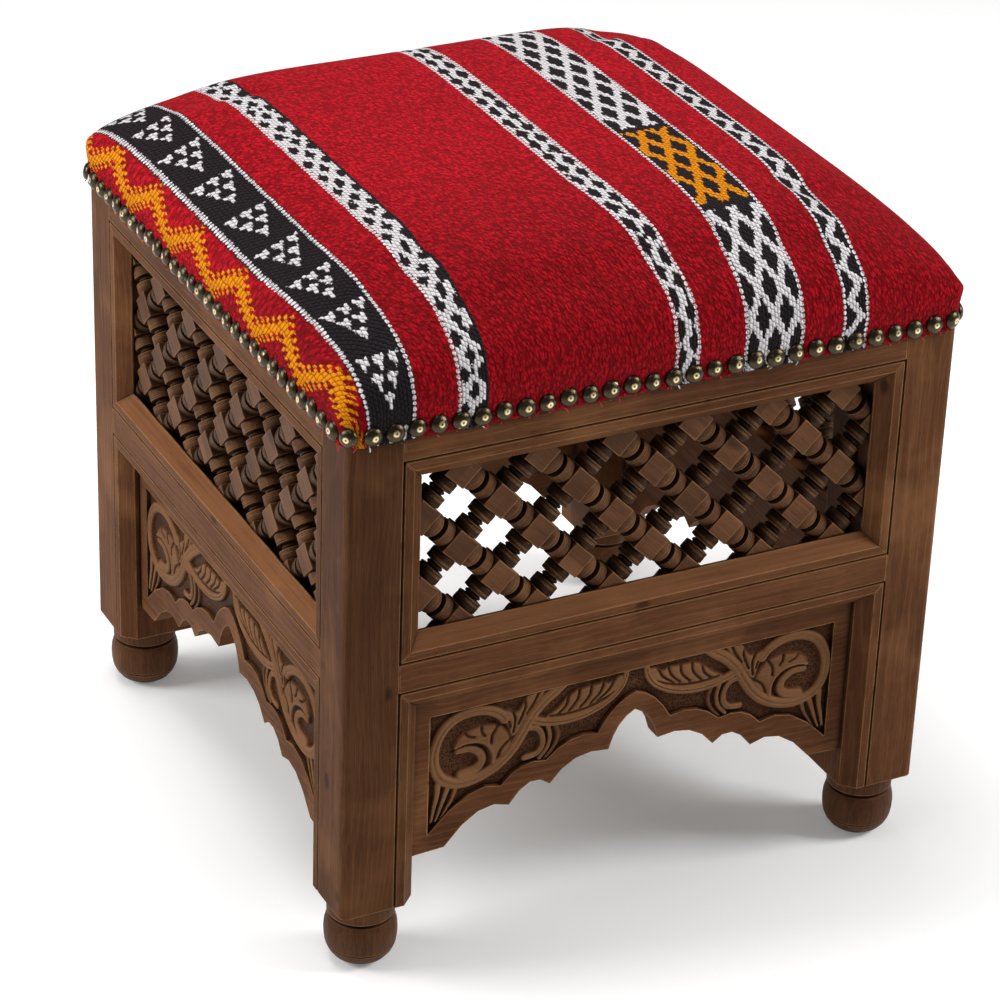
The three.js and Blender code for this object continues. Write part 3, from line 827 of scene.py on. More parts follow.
# A leaf is its outline, height, the width of its rounded rim and the slits cut in it
LEAVES = (
    (((82, 134), (84.5, 141.5), (89.5, 147.6), (96, 151), (106, 151.6), (117, 148.6), (123, 142.6), (121.5, 138.4),
      (113, 139.4), (106, 138), (100.5, 134), (98.5, 126), (101, 119.5), (108, 116), (96, 118), (88, 125.5)),
     0.74, 2.6, (((92.5, 149), (96.5, 143), (97, 137)), ((104, 151), (103.6, 146.6), (101.6, 143.4)),
                 ((115, 148), (112, 145.4), (108.6, 144.2)), ((84.5, 137), (90.5, 131.5), (93, 124.5)))),
    (((60, 167), (70, 167), (75, 165), (77.6, 159.6), (81, 156.4), (85, 157.4), (91, 158.6), (90.4, 152.4),
      (87, 146), (84.4, 138.4), (80, 139.4), (72, 152), (64, 161)), 0.82, 2.0,
     (((76.2, 163.4), (75, 157.4), (79.4, 146.4)), ((84, 157), (81.6, 150.4), (82.6, 141.4)),
      ((66, 166.4), (68.6, 160.4), (73.6, 152.6)), ((89.6, 155), (86.2, 150.6), (84.6, 145.4)))),
    (((7.4, 164.4), (12.4, 164.6), (17.6, 161.2), (23, 162.4), (30, 162), (36.6, 161.8), (42.6, 160.6),
      (48.6, 156.4), (54, 151.6), (61, 147.4), (67, 144), (58, 140.6), (46, 140), (32, 141.6), (19, 147.4),
      (10.4, 154.6)), 0.80, 2.2,
     (((14.6, 162.6), (18.6, 155.6), (26, 149.6)), ((22, 162.4), (24.4, 155.4), (31, 148.6)),
      ((30.6, 161.8), (31.8, 154.6), (38, 147.6)), ((38.6, 161.4), (39.8, 154), (45.6, 147)),
      ((46, 157.4), (47.6, 151.6), (52.6, 146.6)),
      ((11.6, 154.6), (20.6, 150), (33, 146.4), (46, 145.4), (58, 146.4)))),
)


def smooth_line(points, count):
    """A curve through the points, as samples with their distance from its start."""
    p = np.array([points[0], *points, points[-1]], float)
    samples = []
    for k in range(1, len(p) - 2):
        t = np.linspace(0, 1, count, endpoint=False)[:, None]
        a, b, c, d = p[k - 1], p[k], p[k + 1], p[k + 2]
        samples.append(0.5 * (2 * b + (c - a) * t + (2 * a - 5 * b + 4 * c - d) * t ** 2
                              + (3 * b - a - 3 * c + d) * t ** 3))
    line = np.vstack([*samples, p[-2:-1]])
    steps = np.concatenate([[0], np.cumsum(np.hypot(*np.diff(line, axis=0).T))])
    return line, steps


def line_distance(x, z, line, steps):
    """Distance of each place from a line, and how far along it the nearest point lies."""
    best = np.full(x.shape, FAR)
    place = np.zeros(x.shape)
    for (ax, az), (bx, bz), start, end in zip(line[:-1], line[1:], steps[:-1], steps[1:]):
        dx, dz = bx - ax, bz - az
        size = dx * dx + dz * dz
        if size < TINY:
            continue
        t = np.clip(((x - ax) * dx + (z - az) * dz) / size, 0, 1)
        gap = np.hypot(x - ax - t * dx, z - az - t * dz)
        nearer = gap < best
        best = np.where(nearer, gap, best)
        place = np.where(nearer, start + t * (end - start), place)
    return best, place


def inside(x, z, outline):
    """Which places lie within a closed outline."""
    found = np.zeros(x.shape, bool)
    for (ax, az), (bx, bz) in zip(outline, np.roll(outline, -1, axis=0)):
        if abs(bz - az) < TINY:
            continue
        crosses = (az > z) != (bz > z)
        found ^= crosses & (x < (bx - ax) * (z - az) / (bz - az) + ax)
    return found


def stem_height(x, z, points, start_width, end_width, lift, cut):
    line, steps = smooth_line(points, 7)
    gap, along = line_distance(x, z, line, steps)
    width = start_width + (end_width - start_width) * along / steps[-1]
    t = np.clip(gap / width, 0, 1)
    return lift * (1 - t ** 2.6) ** 0.6 * (1 - cut * np.exp(-((t / 0.13) ** 2)))


def leaf_height(x, z, outline, lift, rim, veins):
    closed, steps = smooth_line((*outline, outline[0]), 6)
    gap, _ = line_distance(x, z, closed, steps)
    height = lift * np.clip(gap / rim, 0, 1) ** 0.55 * inside(x, z, closed[:-1])
    for vein in veins:
        cut, cut_steps = smooth_line(vein, 6)
        off, _ = line_distance(x, z, cut, cut_steps)
        height = height * (1 - 0.62 * np.exp(-((off / 0.85) ** 2)))
    return height


def field_edge(floor_y):
    """Height of the field's lower edge over x and the height of its top, read from the sunk field of the
    apron's solid, in millimetres."""
    lows, top = {}, 0.0
    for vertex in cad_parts["carved_apron_front"].data.vertices:
        x, y, z = vertex.co
        if abs(y - floor_y) < HAIR:
            key = round(x / MM, 1)
            lows[key] = min(lows.get(key, FAR), z / MM)
            top = max(top, z / MM)
    return lows, top


def carving_height(x, z):
    """Height share of the whole carving over its ground."""
    x = np.abs(x)
    height = np.zeros(x.shape)
    for stem in STEMS:
        height = np.maximum(height, stem_height(x, z, *stem))
    for leaf in LEAVES:
        height = np.maximum(height, leaf_height(x, z, *leaf))
    chisel = np.sin(x * 1.9 + z * 0.7) * np.sin(z * 1.6 - x * 0.5) * 0.025
    return np.clip(height + chisel * (height > 0.05), 0, 1)


CLEAR = 0.25    # distance of the carving from the field's edge, in millimetres


class KURSI_OT_carving(bpy.types.Operator):
    """Carves the scrolls and the punched ground into the aprons' fields"""
    bl_idname = "kursi.carving"
    bl_label = "Carving"

    def execute(self, context):
        carving = context.scene.kursi_carving
        floor_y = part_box("carved_apron_front")[0].y + carving.field_depth
        edge, top = field_edge(floor_y)
        xs = np.array(sorted(edge))
        lows = np.array([edge[k] for k in xs])
        left, right, top = xs[0] + CLEAR, xs[-1] - CLEAR, top - CLEAR
        columns = int((right - left) / (carving.step / MM))
        rows = int((top - lows.min()) / (carving.step / MM))
        x = np.linspace(left, right, columns + 1)
        bottom = np.interp(x, xs, lows) + CLEAR
        share_up = np.linspace(0, 1, rows + 1)
        grid_x = np.repeat(x[:, None], rows + 1, axis=1)
        grid_z = bottom[:, None] + (top - bottom)[:, None] * share_up[None, :]
        height = carving_height(grid_x, grid_z)
        front = floor_y - carving.ground - height * carving.relief
        flat = np.stack([grid_x * MM, front, grid_z * MM], -1).reshape(-1, 3)
        index, faces, rim = grid_faces(columns, rows)
        rear = flat[rim]
        rear[:, 1] = floor_y + carving.bed
        loop = rim.tolist()
        behind = {k: len(flat) + n for n, k in enumerate(loop)}
        for first, second in zip(loop, loop[1:] + loop[:1]):
            faces.append((second, first, behind[first], behind[second]))
        # The back is a flat fan between the lower and the upper rim
        lower, upper, left_rim, right_rim = (
            [behind[k] for k in line.tolist()] for line in (index[:, 0], index[:, -1], index[0], index[-1]))
        for i in range(1, columns - 1):
            faces.append((lower[i + 1], lower[i], upper[i], upper[i + 1]))
        faces.append((lower[1], *left_rim, upper[1]))
        faces.append((upper[-2], *reversed(right_rim), lower[-2]))
        vertices = np.vstack([flat, rear])
        level = np.concatenate([height.reshape(-1), np.zeros(len(rim))])
        woods = [stained_wood(f"carved {name} walnut", axis, 1.1, carved=True, reach=0.009, ledge_highlight=0.3)
                 for name, axis in (("cross", "x"), ("deep", "y"))]
        for turn, side in enumerate(SIDES):
            obj = piece(f"carved_scrolls_{side}", vertices, faces)
            store(obj.data, "level", level)
            obj.data.transform(side_turn(turn))
            softened(obj.data, 60)
            set_material(obj, woods[turn % 2])
            ride_as(obj, "apron_wood")
        return {"FINISHED"}


# Rug and pad

class SeatForm:
    """The seat's crown and drop, in metres, worked out from the solids."""

    def __init__(self, rug, lower=0.0, inset=0.0):
        low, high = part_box("rug_cover")
        self.reach = high.x - inset
        self.hem = low.z
        self.apex = high.z - lower
        self.spring = high.z - rug.rise - lower
        self.drop = self.spring - self.hem
        self.straight = self.reach - rug.round
        self.rug = rug

    def crown(self, x, y):
        fall = 1.0
        for value in (x, y):
            fall = fall * (1 - np.minimum(1, np.abs(value / self.reach)) ** self.rug.square)
        return self.spring + (self.apex - self.spring) * fall ** self.rug.ease

    def bulged(self, places):
        """The places moved outwards where the pad pushes the rug over the frame."""
        x, y, z = places.T
        up = (z - self.spring - self.rug.bulge_place) / self.rug.bulge_reach
        amount = self.rug.bulge * np.exp(-up ** 2)
        out_x, out_y = np.abs(x / self.reach) ** 8, np.abs(y / self.reach) ** 8
        size = np.maximum(np.hypot(out_x, out_y), TINY)
        amount = amount * np.minimum(size, 1) / size
        return np.stack([x + np.sign(x) * out_x * amount, y + np.sign(y) * out_y * amount, z], -1)

    def onto_round(self, a, b):
        """Place of a square's point on the seat's plan, whose corners are rounded."""
        size = np.maximum(np.abs(a), np.abs(b))
        safe = np.maximum(size, TINY)
        x, y = np.abs(a / safe) * self.reach, np.abs(b / safe) * self.reach
        in_corner = (x > self.straight) & (y > self.straight)
        # Where the ray from the middle meets the corner's arc
        norm = np.hypot(x, y)
        ux, uy = x / norm, y / norm
        along = self.straight * (ux + uy)
        root = np.sqrt(np.maximum(along ** 2 - 2 * self.straight ** 2 + self.rug.round ** 2, 0))
        far = along + root
        px = np.where(in_corner, ux * far, x) * size * np.sign(a)
        py = np.where(in_corner, uy * far, y) * size * np.sign(b)
        return px, py

    def arc(self, x, y):
        """Length of the cloth from the front hem to each place, measured along y."""
        steps = np.linspace(0, 1, 160)
        line = -self.reach + (y[:, None] + self.reach) * steps[None, :]
        heights = self.crown(np.repeat(x[:, None], len(steps), axis=1), line)
        return self.drop + np.hypot(np.diff(line, axis=1), np.diff(heights, axis=1)).sum(axis=1)


def seat_sheet(name, form, cells, rings):
    """The crown as a grid and the drop as rings below its edge, with the cloth's flat place as UV."""
    line = np.linspace(-1, 1, cells + 1)
    a, b = np.meshgrid(line, line, indexing="ij")
    x, y = form.onto_round(a.ravel(), b.ravel())
    z = form.crown(x, y)
    _, faces, rim = grid_faces(cells, cells)
    xr, yr, zr = x[rim], y[rim], z[rim]
    nx = np.sign(xr) * np.maximum(np.abs(xr) - form.straight, 0)
    ny = np.sign(yr) * np.maximum(np.abs(yr) - form.straight, 0)
    norm = np.maximum(np.hypot(nx, ny), TINY)
    nx, ny = nx / norm, ny / norm
    vertices = [np.stack([x, y, z], -1)]
    us, vs, rims = [x], [form.arc(x, y)], [form.arc(y, x)]
    upper = rim.tolist()
    around = len(upper)
    for ring in range(1, rings + 1):
        z_ring = zr + (form.hem - zr) * (ring / rings)
        vertices.append(np.stack([xr, yr, z_ring], -1))
        for flat, out in ((us, nx), (vs, ny), (rims, nx)):
            flat.append(flat[0][rim] + out * (zr - z_ring))
        start = len(x) + (ring - 1) * around
        lower = list(range(start, start + around))
        for k in range(around):
            n = (k + 1) % around
            faces.append([upper[n], upper[k], lower[k], lower[n]])
        upper = lower
    obj = piece(name, form.bulged(np.vstack(vertices)), faces)
    loops = np.zeros(len(obj.data.loops), dtype=np.int32)
    obj.data.loops.foreach_get("vertex_index", loops)
    for map_name, first in (("rug", us), ("rim", rims)):
        flat = np.stack([np.concatenate(first)[loops], np.concatenate(vs)[loops]], -1)
        obj.data.uv_layers.new(name=map_name).data.foreach_set("uv", flat.astype(np.float32).ravel())
    return obj, upper


def numbers_of(items, key):
    """Three numbers of each item of a mesh, as rows."""
    values = np.zeros(len(items) * 3, np.float32)
    items.foreach_get(key, values)
    return values.reshape(-1, 3).astype(float)


CLOTH = {
    "quality": 6,
    "mass": 0.35,
    "tension_stiffness": 12,
    "compression_stiffness": 8,
    "shear_stiffness": 4,
    "bending_stiffness": 0.6,
    "use_pressure": True,
    "uniform_pressure_force": 4.0,
}


def inflated(obj, pinned, rug, spring):
    """Lets the cloth swell between its nailed edges, and limits how far each point moves."""
    group = obj.vertex_groups.new(name="nailed")
    group.add(pinned, 1.0, "REPLACE")
    cloth = obj.modifiers.new("swell", "CLOTH")
    for key, value in CLOTH.items():
        setattr(cloth.settings, key, value)
    cloth.settings.vertex_group_mass = group.name
    cloth.settings.effector_weights.gravity = 0.0
    first = numbers_of(obj.data.vertices, "co")
    scene = bpy.context.scene
    for step in range(1, rug.steps + 1):
        scene.frame_set(step)
        bpy.context.view_layer.update()
    mesh = result_mesh(obj, "swollen")
    moved = numbers_of(mesh.vertices, "co")
    obj.modifiers.remove(cloth)
    bpy.data.meshes.remove(mesh)
    scene.frame_set(1)
    # The swelling goes straight out of the first form, and fades towards the nailed edge
    normals = numbers_of(obj.data.vertex_normals, "vector")
    out = np.maximum(((moved - first) * normals).sum(axis=1), 0)
    free = np.clip((first[:, 2] - spring) / rug.fade, 0, 1)
    swell = rug.give * np.tanh(out / rug.give) * free * free * (3 - 2 * free)
    last = first + normals * swell[:, None]
    obj.data.vertices.foreach_set("co", last.astype(np.float32).ravel())
    obj.data.update()


class Weave:
    """The rug's pattern as sums over the flat cloth: x across the stripes, y along them, in millimetres,
    and rim, the distance of the cloth from its left hem."""

    SLANT = 0.30    # how far a bead leans, as a share of its length
    KEEP = 0.35    # share of the pattern that doesn't follow the beads
    STITCH = 0.9    # distance of the edge stitches outside the pattern
    STITCH_WIDTH, STITCH_STEP, STITCH_SHARE = 1.15, 3.5, 0.42

    def __init__(self, recipe, rug):
        u, v, _ = recipe.split(recipe.node("ShaderNodeUVMap", uv_map="rug").outputs[0])
        u, v = u * 1000.0, v * 1000.0
        rim = recipe.split(recipe.node("ShaderNodeUVMap", uv_map="rim").outputs[0])[0] * 1000.0
        stray, stray_v, fray, fray_v = (
            recipe.noise(recipe.join(u * pace, v * pace, seed), 1.0, detail) - 0.5
            for pace, seed, detail in ((0.16, 3.0, 2.0), (0.16, 9.0, 2.0), (0.8, 5.0, 3.0), (0.8, 7.0, 3.0)))
        width, long = rug.bead_width / MM, rug.bead_length / MM
        columns = (u + stray * 1.6) / width
        column = columns.floor()
        self.du = columns.rest() - 0.5
        self.plain_x, self.plain_y = u + stray * 1.7, v + stray_v * 2.4
        lean = (self.plain_y + self.du * self.SLANT * long) / long + (column * 0.5).rest()
        self.dv = lean.rest() - 0.5
        # Each bead mostly has the colour of the pattern at its own middle
        self.x = self.plain_x - self.du * (width * (1 - self.KEEP)) + fray * 2.0
        self.y = v + stray_v * 2.2 - self.dv * (long * (1 - self.KEEP)) + fray_v * 2.8
        self.rim = rim + stray * 1.6 + stray_v * 1.0 + fray * 1.2
        self.knot_place = recipe.join((u + stray * 2.0) / rug.knot_width * MM + v * 0.1,
                                      (v + stray_v * 2.0) / rug.knot_length * MM)
        noise = recipe.node("ShaderNodeTexWhiteNoise", {"Vector": recipe.join(column, lean.floor())},
                            noise_dimensions="2D")
        self.chance = recipe.wire(noise.outputs["Value"])
        self.drift = ((v - 55.0) / 110.0).within(1.0)

    def stripe(self, middle, half):
        """Distance from a stripe's middle, whether a bead is inside, and the row of beads at both its edges."""
        off = self.x - middle
        across = ((self.plain_x - middle).size() - half - self.STITCH) / self.STITCH_WIDTH
        along = ((self.plain_y / self.STITCH_STEP).rest() - 0.5) / self.STITCH_SHARE
        edge = (across.power(2.0) + along.power(2.0)) < 1.0
        return off, off.size() < half, edge

    def net(self, off, middle, pitch, slope, line):
        """Crossing slanted lines."""
        rising = ((self.y - middle - off * slope) / pitch).from_whole() * pitch
        falling = ((self.y - middle + off * slope) / pitch).from_whole() * pitch
        return rising.least(falling) < line

    def diamonds(self, off, columns, pitch, wide, tall):
        """Upright diamonds in two columns, half a step apart."""
        hits = []
        for number, column in enumerate(columns):
            near = ((self.y / pitch) + 0.5 * number).from_whole() * pitch
            hits.append(((off - column).size() / wide + near / tall) < 1.0)
        return hits[0].most(hits[1])

    def triangles(self, off, start, pitch, step, wide):
        """Groups of one, two and three small triangles, standing on their points."""
        even = self.y - ((self.y - 30.0) * 0.019).cosine() * 5.0
        up = ((even - start) / pitch).rest() * pitch
        level = (up / step).floor()
        rise = up - level * step
        side = ((off + (level * 0.5).rest() * wide) / wide).from_whole() * wide
        solid = (side < (rise * 0.33 + 0.2)) * (rise < (step - 2.2))
        return solid * (off.size() < ((level + 1.0) * (wide / 2))) * (level < 2.5)

    def comb(self, first, pitch, top, slope, line, teeth, step):
        """A zigzag with teeth on both sides of its line, as on the cloth's drop."""
        away = ((self.y - first) / pitch).from_whole() * (pitch * slope)
        off = (self.rim + away - top).size()
        tooth = ((self.rim - away) / step).rest() < 0.5
        return (off < line).most((off < teeth) * tooth)


def rug_colours(weave):
    """Which wool each bead is: masks for black, white and orange over the red ground."""
    dropped = 0.05    # share of the beads that are left out of the narrow stripes
    # Broad stripe by the left edge, with triangles
    off, within, edge = weave.stripe(weave.drift * -4.0 - 175.5, 13.2)
    white = edge.most(weave.triangles(off, start=17.2, pitch=46.4, step=12.0, wide=7.8) * within)
    black = off.size() < 15.0
    # Narrow stripe with a fine net and a black right edge
    off, within, edge = weave.stripe(weave.drift * -5.0 - 124.5, 8.3)
    net = weave.net(off, middle=12.0, pitch=21.5, slope=1.95, line=4.3) * (off < 6.8)
    white = white.most(net * within * (weave.chance > dropped)).most(edge * (off < 0.0))
    black = black.most((off - 0.4).size() < 8.4)
    # Second narrow stripe, left of the middle
    off, within, edge = weave.stripe(weave.drift * -10.5 + 11.8, weave.drift * 1.8 + 6.2)
    gaps = weave.diamonds(off, columns=(-4.1, 4.1), pitch=18.0, wide=3.9, tall=8.6)
    white = white.most(within * gaps.flipped() * (weave.chance > dropped)).most(edge)
    black = black.most(within)
    # Broad stripe with the crossing net, orange for a stretch with a black gap at both its ends
    start, end = 112.0, 213.0
    off, within, edge = weave.stripe(69.5, 17.8)
    net = weave.net(off, middle=33.0, pitch=35.0, slope=2.3, line=5.4) * within
    bright = weave.net(off, middle=113.0, pitch=35.0, slope=2.3, line=5.8) * (off.size() < 16.6)
    stretch = (weave.y > start) * (weave.y < end)
    gap = ((weave.y - (start - 2.0)).size() < 3.0).most((weave.y - (end + 2.0)).size() < 3.0)
    white = white.most(net * stretch.flipped() * gap.flipped()).most(edge)
    orange = bright * stretch * gap.flipped()
    black = black.most(off.size() < 18.6)
    # Outer stripe with a zigzag
    off, within, edge = weave.stripe(124.2, 6.8)
    turning = off + 0.2 - ((weave.y - 33.0) / 20.6).zigzag() * 3.6
    white = white.most((turning.size() < 2.8) * within).most(edge)
    black = black.most(off.size() < 8.2)
    # Comb-edged zigzag in orange, on the drop of the left side
    comb = weave.comb(first=50.0, pitch=65.5, top=37.0, slope=0.6, line=3.5, teeth=9.4, step=6.2)
    orange = orange.most(comb * (weave.x < -172.0) * black.flipped())
    return black, white, orange


def rug_material(rug):
    recipe = Recipe("woven wool", opaque(rug.red, 1.22))
    weave = Weave(recipe, rug)
    black, white, orange = rug_colours(weave)
    pale = white.most(orange)
    place = recipe.places()
    shade = recipe.noise(place, 0.035, 3.0)
    tufts = recipe.noise(place, 0.30, 3.0, 0.65)
    fuzz = recipe.noise(place, 1.3, 4.0, 0.75)
    from_knot, own = recipe.cells(weave.knot_place, 0.85)
    recipe.lay(own, opaque(rug.red, 0.76))
    recipe.lay(tufts.ramp(0.48, 3.0, 0.6), opaque(rug.red, 0.62))
    recipe.lay(tufts.ramp(0.42, -4.0, 0.5), opaque(rug.bright))
    recipe.lay(shade.ramp(0.42, 0.9), opaque(rug.red, 0.75))
    # The front half of the rug, and most of all its drop, is painted a deeper red as shade, where the wool hangs
    # out of the light
    recipe.dim((weave.y * -0.006 + 1.25).within(0.75), (0.60, 0.38, 0.50, 1))
    recipe.dim((weave.y * -0.025 - 3.8).within(1.0), (0.66, 0.60, 0.62, 1))
    for mask, wool in ((black, rug.black), (white, rug.white), (orange, rug.orange)):
        recipe.lay(mask, opaque(wool))
    recipe.dim(fuzz.ramp(0.42, 1.4, 0.7) * (pale * -0.75 + 1.0), (0.76, 0.64, 0.67, 1))
    # The weave's beads stand up in the stripes, and tufts of wool in the red
    woven = pale.most(black)
    knot = (from_knot * 1.4).flipped().most(0.0)
    seam = (weave.du * 2.0).power(2.0).flipped().most(0.0).power(0.5)
    bead = (seam * (weave.dv * 2.0).power(4.0).flipped().most(0.0)).power(1.3)
    round_share = knot * woven.flipped() + bead * woven
    # Painted shade darkens the gaps between the beads and between the tufts
    recipe.dim((round_share.flipped() * 2.4 - 1.2).within(0.75), (0.36, 0.22, 0.25, 1))
    height = round_share * 1.1 + fuzz + tufts * 1.8
    return recipe.finish(0.95, recipe.bump(height, 1.6 * MM), Specular_IOR_Level=0.02, Sheen_Weight=0.05,
                         Sheen_Roughness=0.5, Sheen_Tint=(1.0, 0.7, 0.72, 1.0))


class KURSI_OT_pad(bpy.types.Operator):
    """Makes the foam pad under the rug"""
    bl_idname = "kursi.pad"
    bl_label = "Pad"

    def execute(self, context):
        rug = context.scene.kursi_rug
        form = SeatForm(rug, lower=rug.thickness + 1.5 * MM, inset=8 * MM)
        form.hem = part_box("foam_pad")[0].z
        obj, bottom = seat_sheet("crowned_pad", form, 40, 4)
        closed = bmesh.new()
        closed.from_mesh(obj.data)
        closed.verts.ensure_lookup_table()
        closed.faces.new([closed.verts[k] for k in reversed(bottom)])
        bmesh.ops.recalc_face_normals(closed, faces=closed.faces[:])
        closed.to_mesh(obj.data)
        closed.free()
        softened(obj.data, 40)
        recipe = Recipe("open foam", (0.86, 0.80, 0.62, 1))
        cells = recipe.noise(recipe.places(), 1.4, 3.0)
        recipe.lay(cells, (0.62, 0.55, 0.40, 1))
        set_material(obj, recipe.finish(0.9, recipe.bump(cells, 0.5 * MM)))
        ride_as(obj, "foam", "foam_pad")
        return {"FINISHED"}


class KURSI_OT_rug(bpy.types.Operator):
    """Stretches the woven rug over the seat"""
    bl_idname = "kursi.rug"
    bl_label = "Rug"

    def execute(self, context):
        rug = context.scene.kursi_rug
        form = SeatForm(rug)
        form.apex -= rug.give * rug.start_lower
        obj, hem = seat_sheet("woven_rug", form, rug.cells, 5)
        inflated(obj, hem, rug, form.spring)
        reshaped(obj, "SUBSURF", levels=1, render_levels=1)
        reshaped(obj, "SOLIDIFY", thickness=rug.thickness, offset=-1.0, use_even_offset=True)
        obj.data.shade_smooth()
        set_material(obj, rug_material(rug))
        ride_as(obj, "wool_rug", "rug_cover")
        return {"FINISHED"}


# Nails and yarn ends

def nail_template(nail):
    """A domed head lying on the XY plane with its crown along +Z."""
    flange = 0.35 * MM
    angles = np.linspace(0, math.pi / 2, 7)[:-1]
    dome = [(nail.radius * math.cos(t), flange + (nail.dome - flange) * math.sin(t)) for t in angles]
    vertices, faces = turned_mesh([(0.0, 0.0), (nail.radius * 0.97, 0.0), *dome, (0.0, nail.dome)], 18)
    obj = piece("nail", vertices, faces)
    obj.data.shade_smooth()
    crown = [1 - math.hypot(v.co.x, v.co.y) / nail.radius for v in obj.data.vertices]
    store(obj.data, "crown", crown)
    return obj


def brass(name, nail):
    recipe = Recipe(name, opaque(nail.patina))
    place = recipe.places()
    patches = recipe.noise(place, 0.42, 4.0, 0.6)
    fine = recipe.noise(place, 2.2, 3.0)
    crown = recipe.attribute("crown")
    # The tip gets a bright ring round a dark dot, a painted reflection; elsewhere random patches are rubbed bright
    tip_glint = ((crown - 0.79).size() * -7.0 + 1.1 + (patches - 0.5) * 1.6).within(1.0)
    bright = (patches * 4.4 - 2.8).least(0.35).most(tip_glint)
    recipe.lay(bright, opaque(nail.brass))
    rough = (bright * -0.04) + 0.28 + (fine - 0.5) * 0.14
    return recipe.finish(rough, recipe.bump(fine, 0.15 * MM, 0.7), Metallic=1.0)


def hem_path(name, height, out, cells=36):
    """A closed line round the seat at a height, as a mesh of edges."""
    line = np.linspace(-1, 1, cells + 1)[:-1]
    ends = np.ones(cells)
    a, b = np.concatenate([line, ends, -line, -ends]), np.concatenate([-ends, line, ends, -line])
    x, y = SeatForm(bpy.context.scene.kursi_rug, inset=-out).onto_round(a, b)
    mesh = bpy.data.meshes.new(name)
    mesh.from_pydata([(px, py, height) for px, py in zip(x, y)],
                     [(k, (k + 1) % len(x)) for k in range(len(x))], [])
    return new_object(name, mesh)


def nail_tree(material):
    """Heads along a line, a little uneven, each turned to face outwards."""
    growth = GrowthTree("Nail row")
    pitch, head, uneven = growth.inputs(Pitch="Float", Head="Object", Uneven="Float")
    curve = growth.node("GeometryNodeMeshToCurve", {"Mesh": growth.entry.outputs[0]})
    points = growth.node("GeometryNodeCurveToPoints", {"Curve": curve.outputs[0], "Length": pitch}, mode="LENGTH")
    side = growth.vector("CROSS_PRODUCT", points.outputs["Tangent"], (0.0, 0.0, 1.0))
    outward = growth.vector("ADD", side, growth.random((-0.16, -0.16, -0.02), (0.16, 0.16, 0.22), 5))
    shake = growth.random((-1.0, -1.0, -1.0), (1.0, 1.0, 1.0), 8)
    amount = growth.node("ShaderNodeVectorMath", {0: shake, "Scale": uneven}, operation="SCALE").outputs[0]
    offset = growth.vector("MULTIPLY", amount, (0.25, 0.25, 1.0))
    placed = growth.node("GeometryNodeSetPosition", {"Geometry": points.outputs["Points"], "Offset": offset})
    heads = growth.plant(placed.outputs[0], head, growth.facing(outward, "Z"), Scale=growth.random(0.95, 1.04, 2))
    growth.close(heads, material)
    return growth


class KURSI_OT_nails(bpy.types.Operator):
    """Sets the domed brass nails along the rug's hem"""
    bl_idname = "kursi.nails"
    bl_label = "Nails"

    def execute(self, context):
        nail = context.scene.kursi_nail
        head = nail_template(nail)
        path = hem_path("nail line", SeatForm(context.scene.kursi_rug).hem + nail.drop, HAIR)
        values = {"Pitch": nail.pitch, "Head": head, "Uneven": 0.7 * MM}
        mesh = nail_tree(brass("aged brass", nail)).grow(path, values, "domed_nails")
        ride_as(new_object("domed_nails", mesh), "wool_rug")
        for helper in (head, path):
            bpy.data.objects.remove(helper)
        return {"FINISHED"}


# Where the stripes end at the hem: middle and half width in millimetres
STRIPE_ENDS = ((-176.0, 15.0), (-125.0, 9.0), (12.0, 9.0), (69.5, 19.0), (124.5, 9.0))
RED, DEEP, ORANGE, PALE, BLACK = range(5)


def yarn_tint(side, place, rng):
    """Number of the wool that a loose end is spun from."""
    across = {0: place, 2: -place}.get(side)
    if across is not None and any(abs(across / MM - middle) < half for middle, half in STRIPE_ENDS):
        return rng.choice((PALE, BLACK), p=(0.45, 0.55))
    if side == 3:
        return rng.choice((RED, DEEP, ORANGE), p=(0.5, 0.2, 0.3))
    return rng.choice((RED, DEEP), p=(0.7, 0.3))


def loose_wool(rug):
    recipe = Recipe("loose wool", opaque(rug.red))
    tint = recipe.attribute("tint")
    wools = (opaque(rug.red, 0.5), opaque(rug.orange), opaque(rug.white), opaque(rug.black))
    for wool, after in zip(wools, (DEEP, ORANGE, PALE, BLACK)):
        recipe.lay(tint > (after - 0.5), wool)
    fibre = recipe.noise(recipe.places(), 2.0, 3.0)
    recipe.lay(fibre * 0.4, (0.1, 0.06, 0.06, 1))
    return recipe.finish(0.9, recipe.bump(fibre, 0.4 * MM))


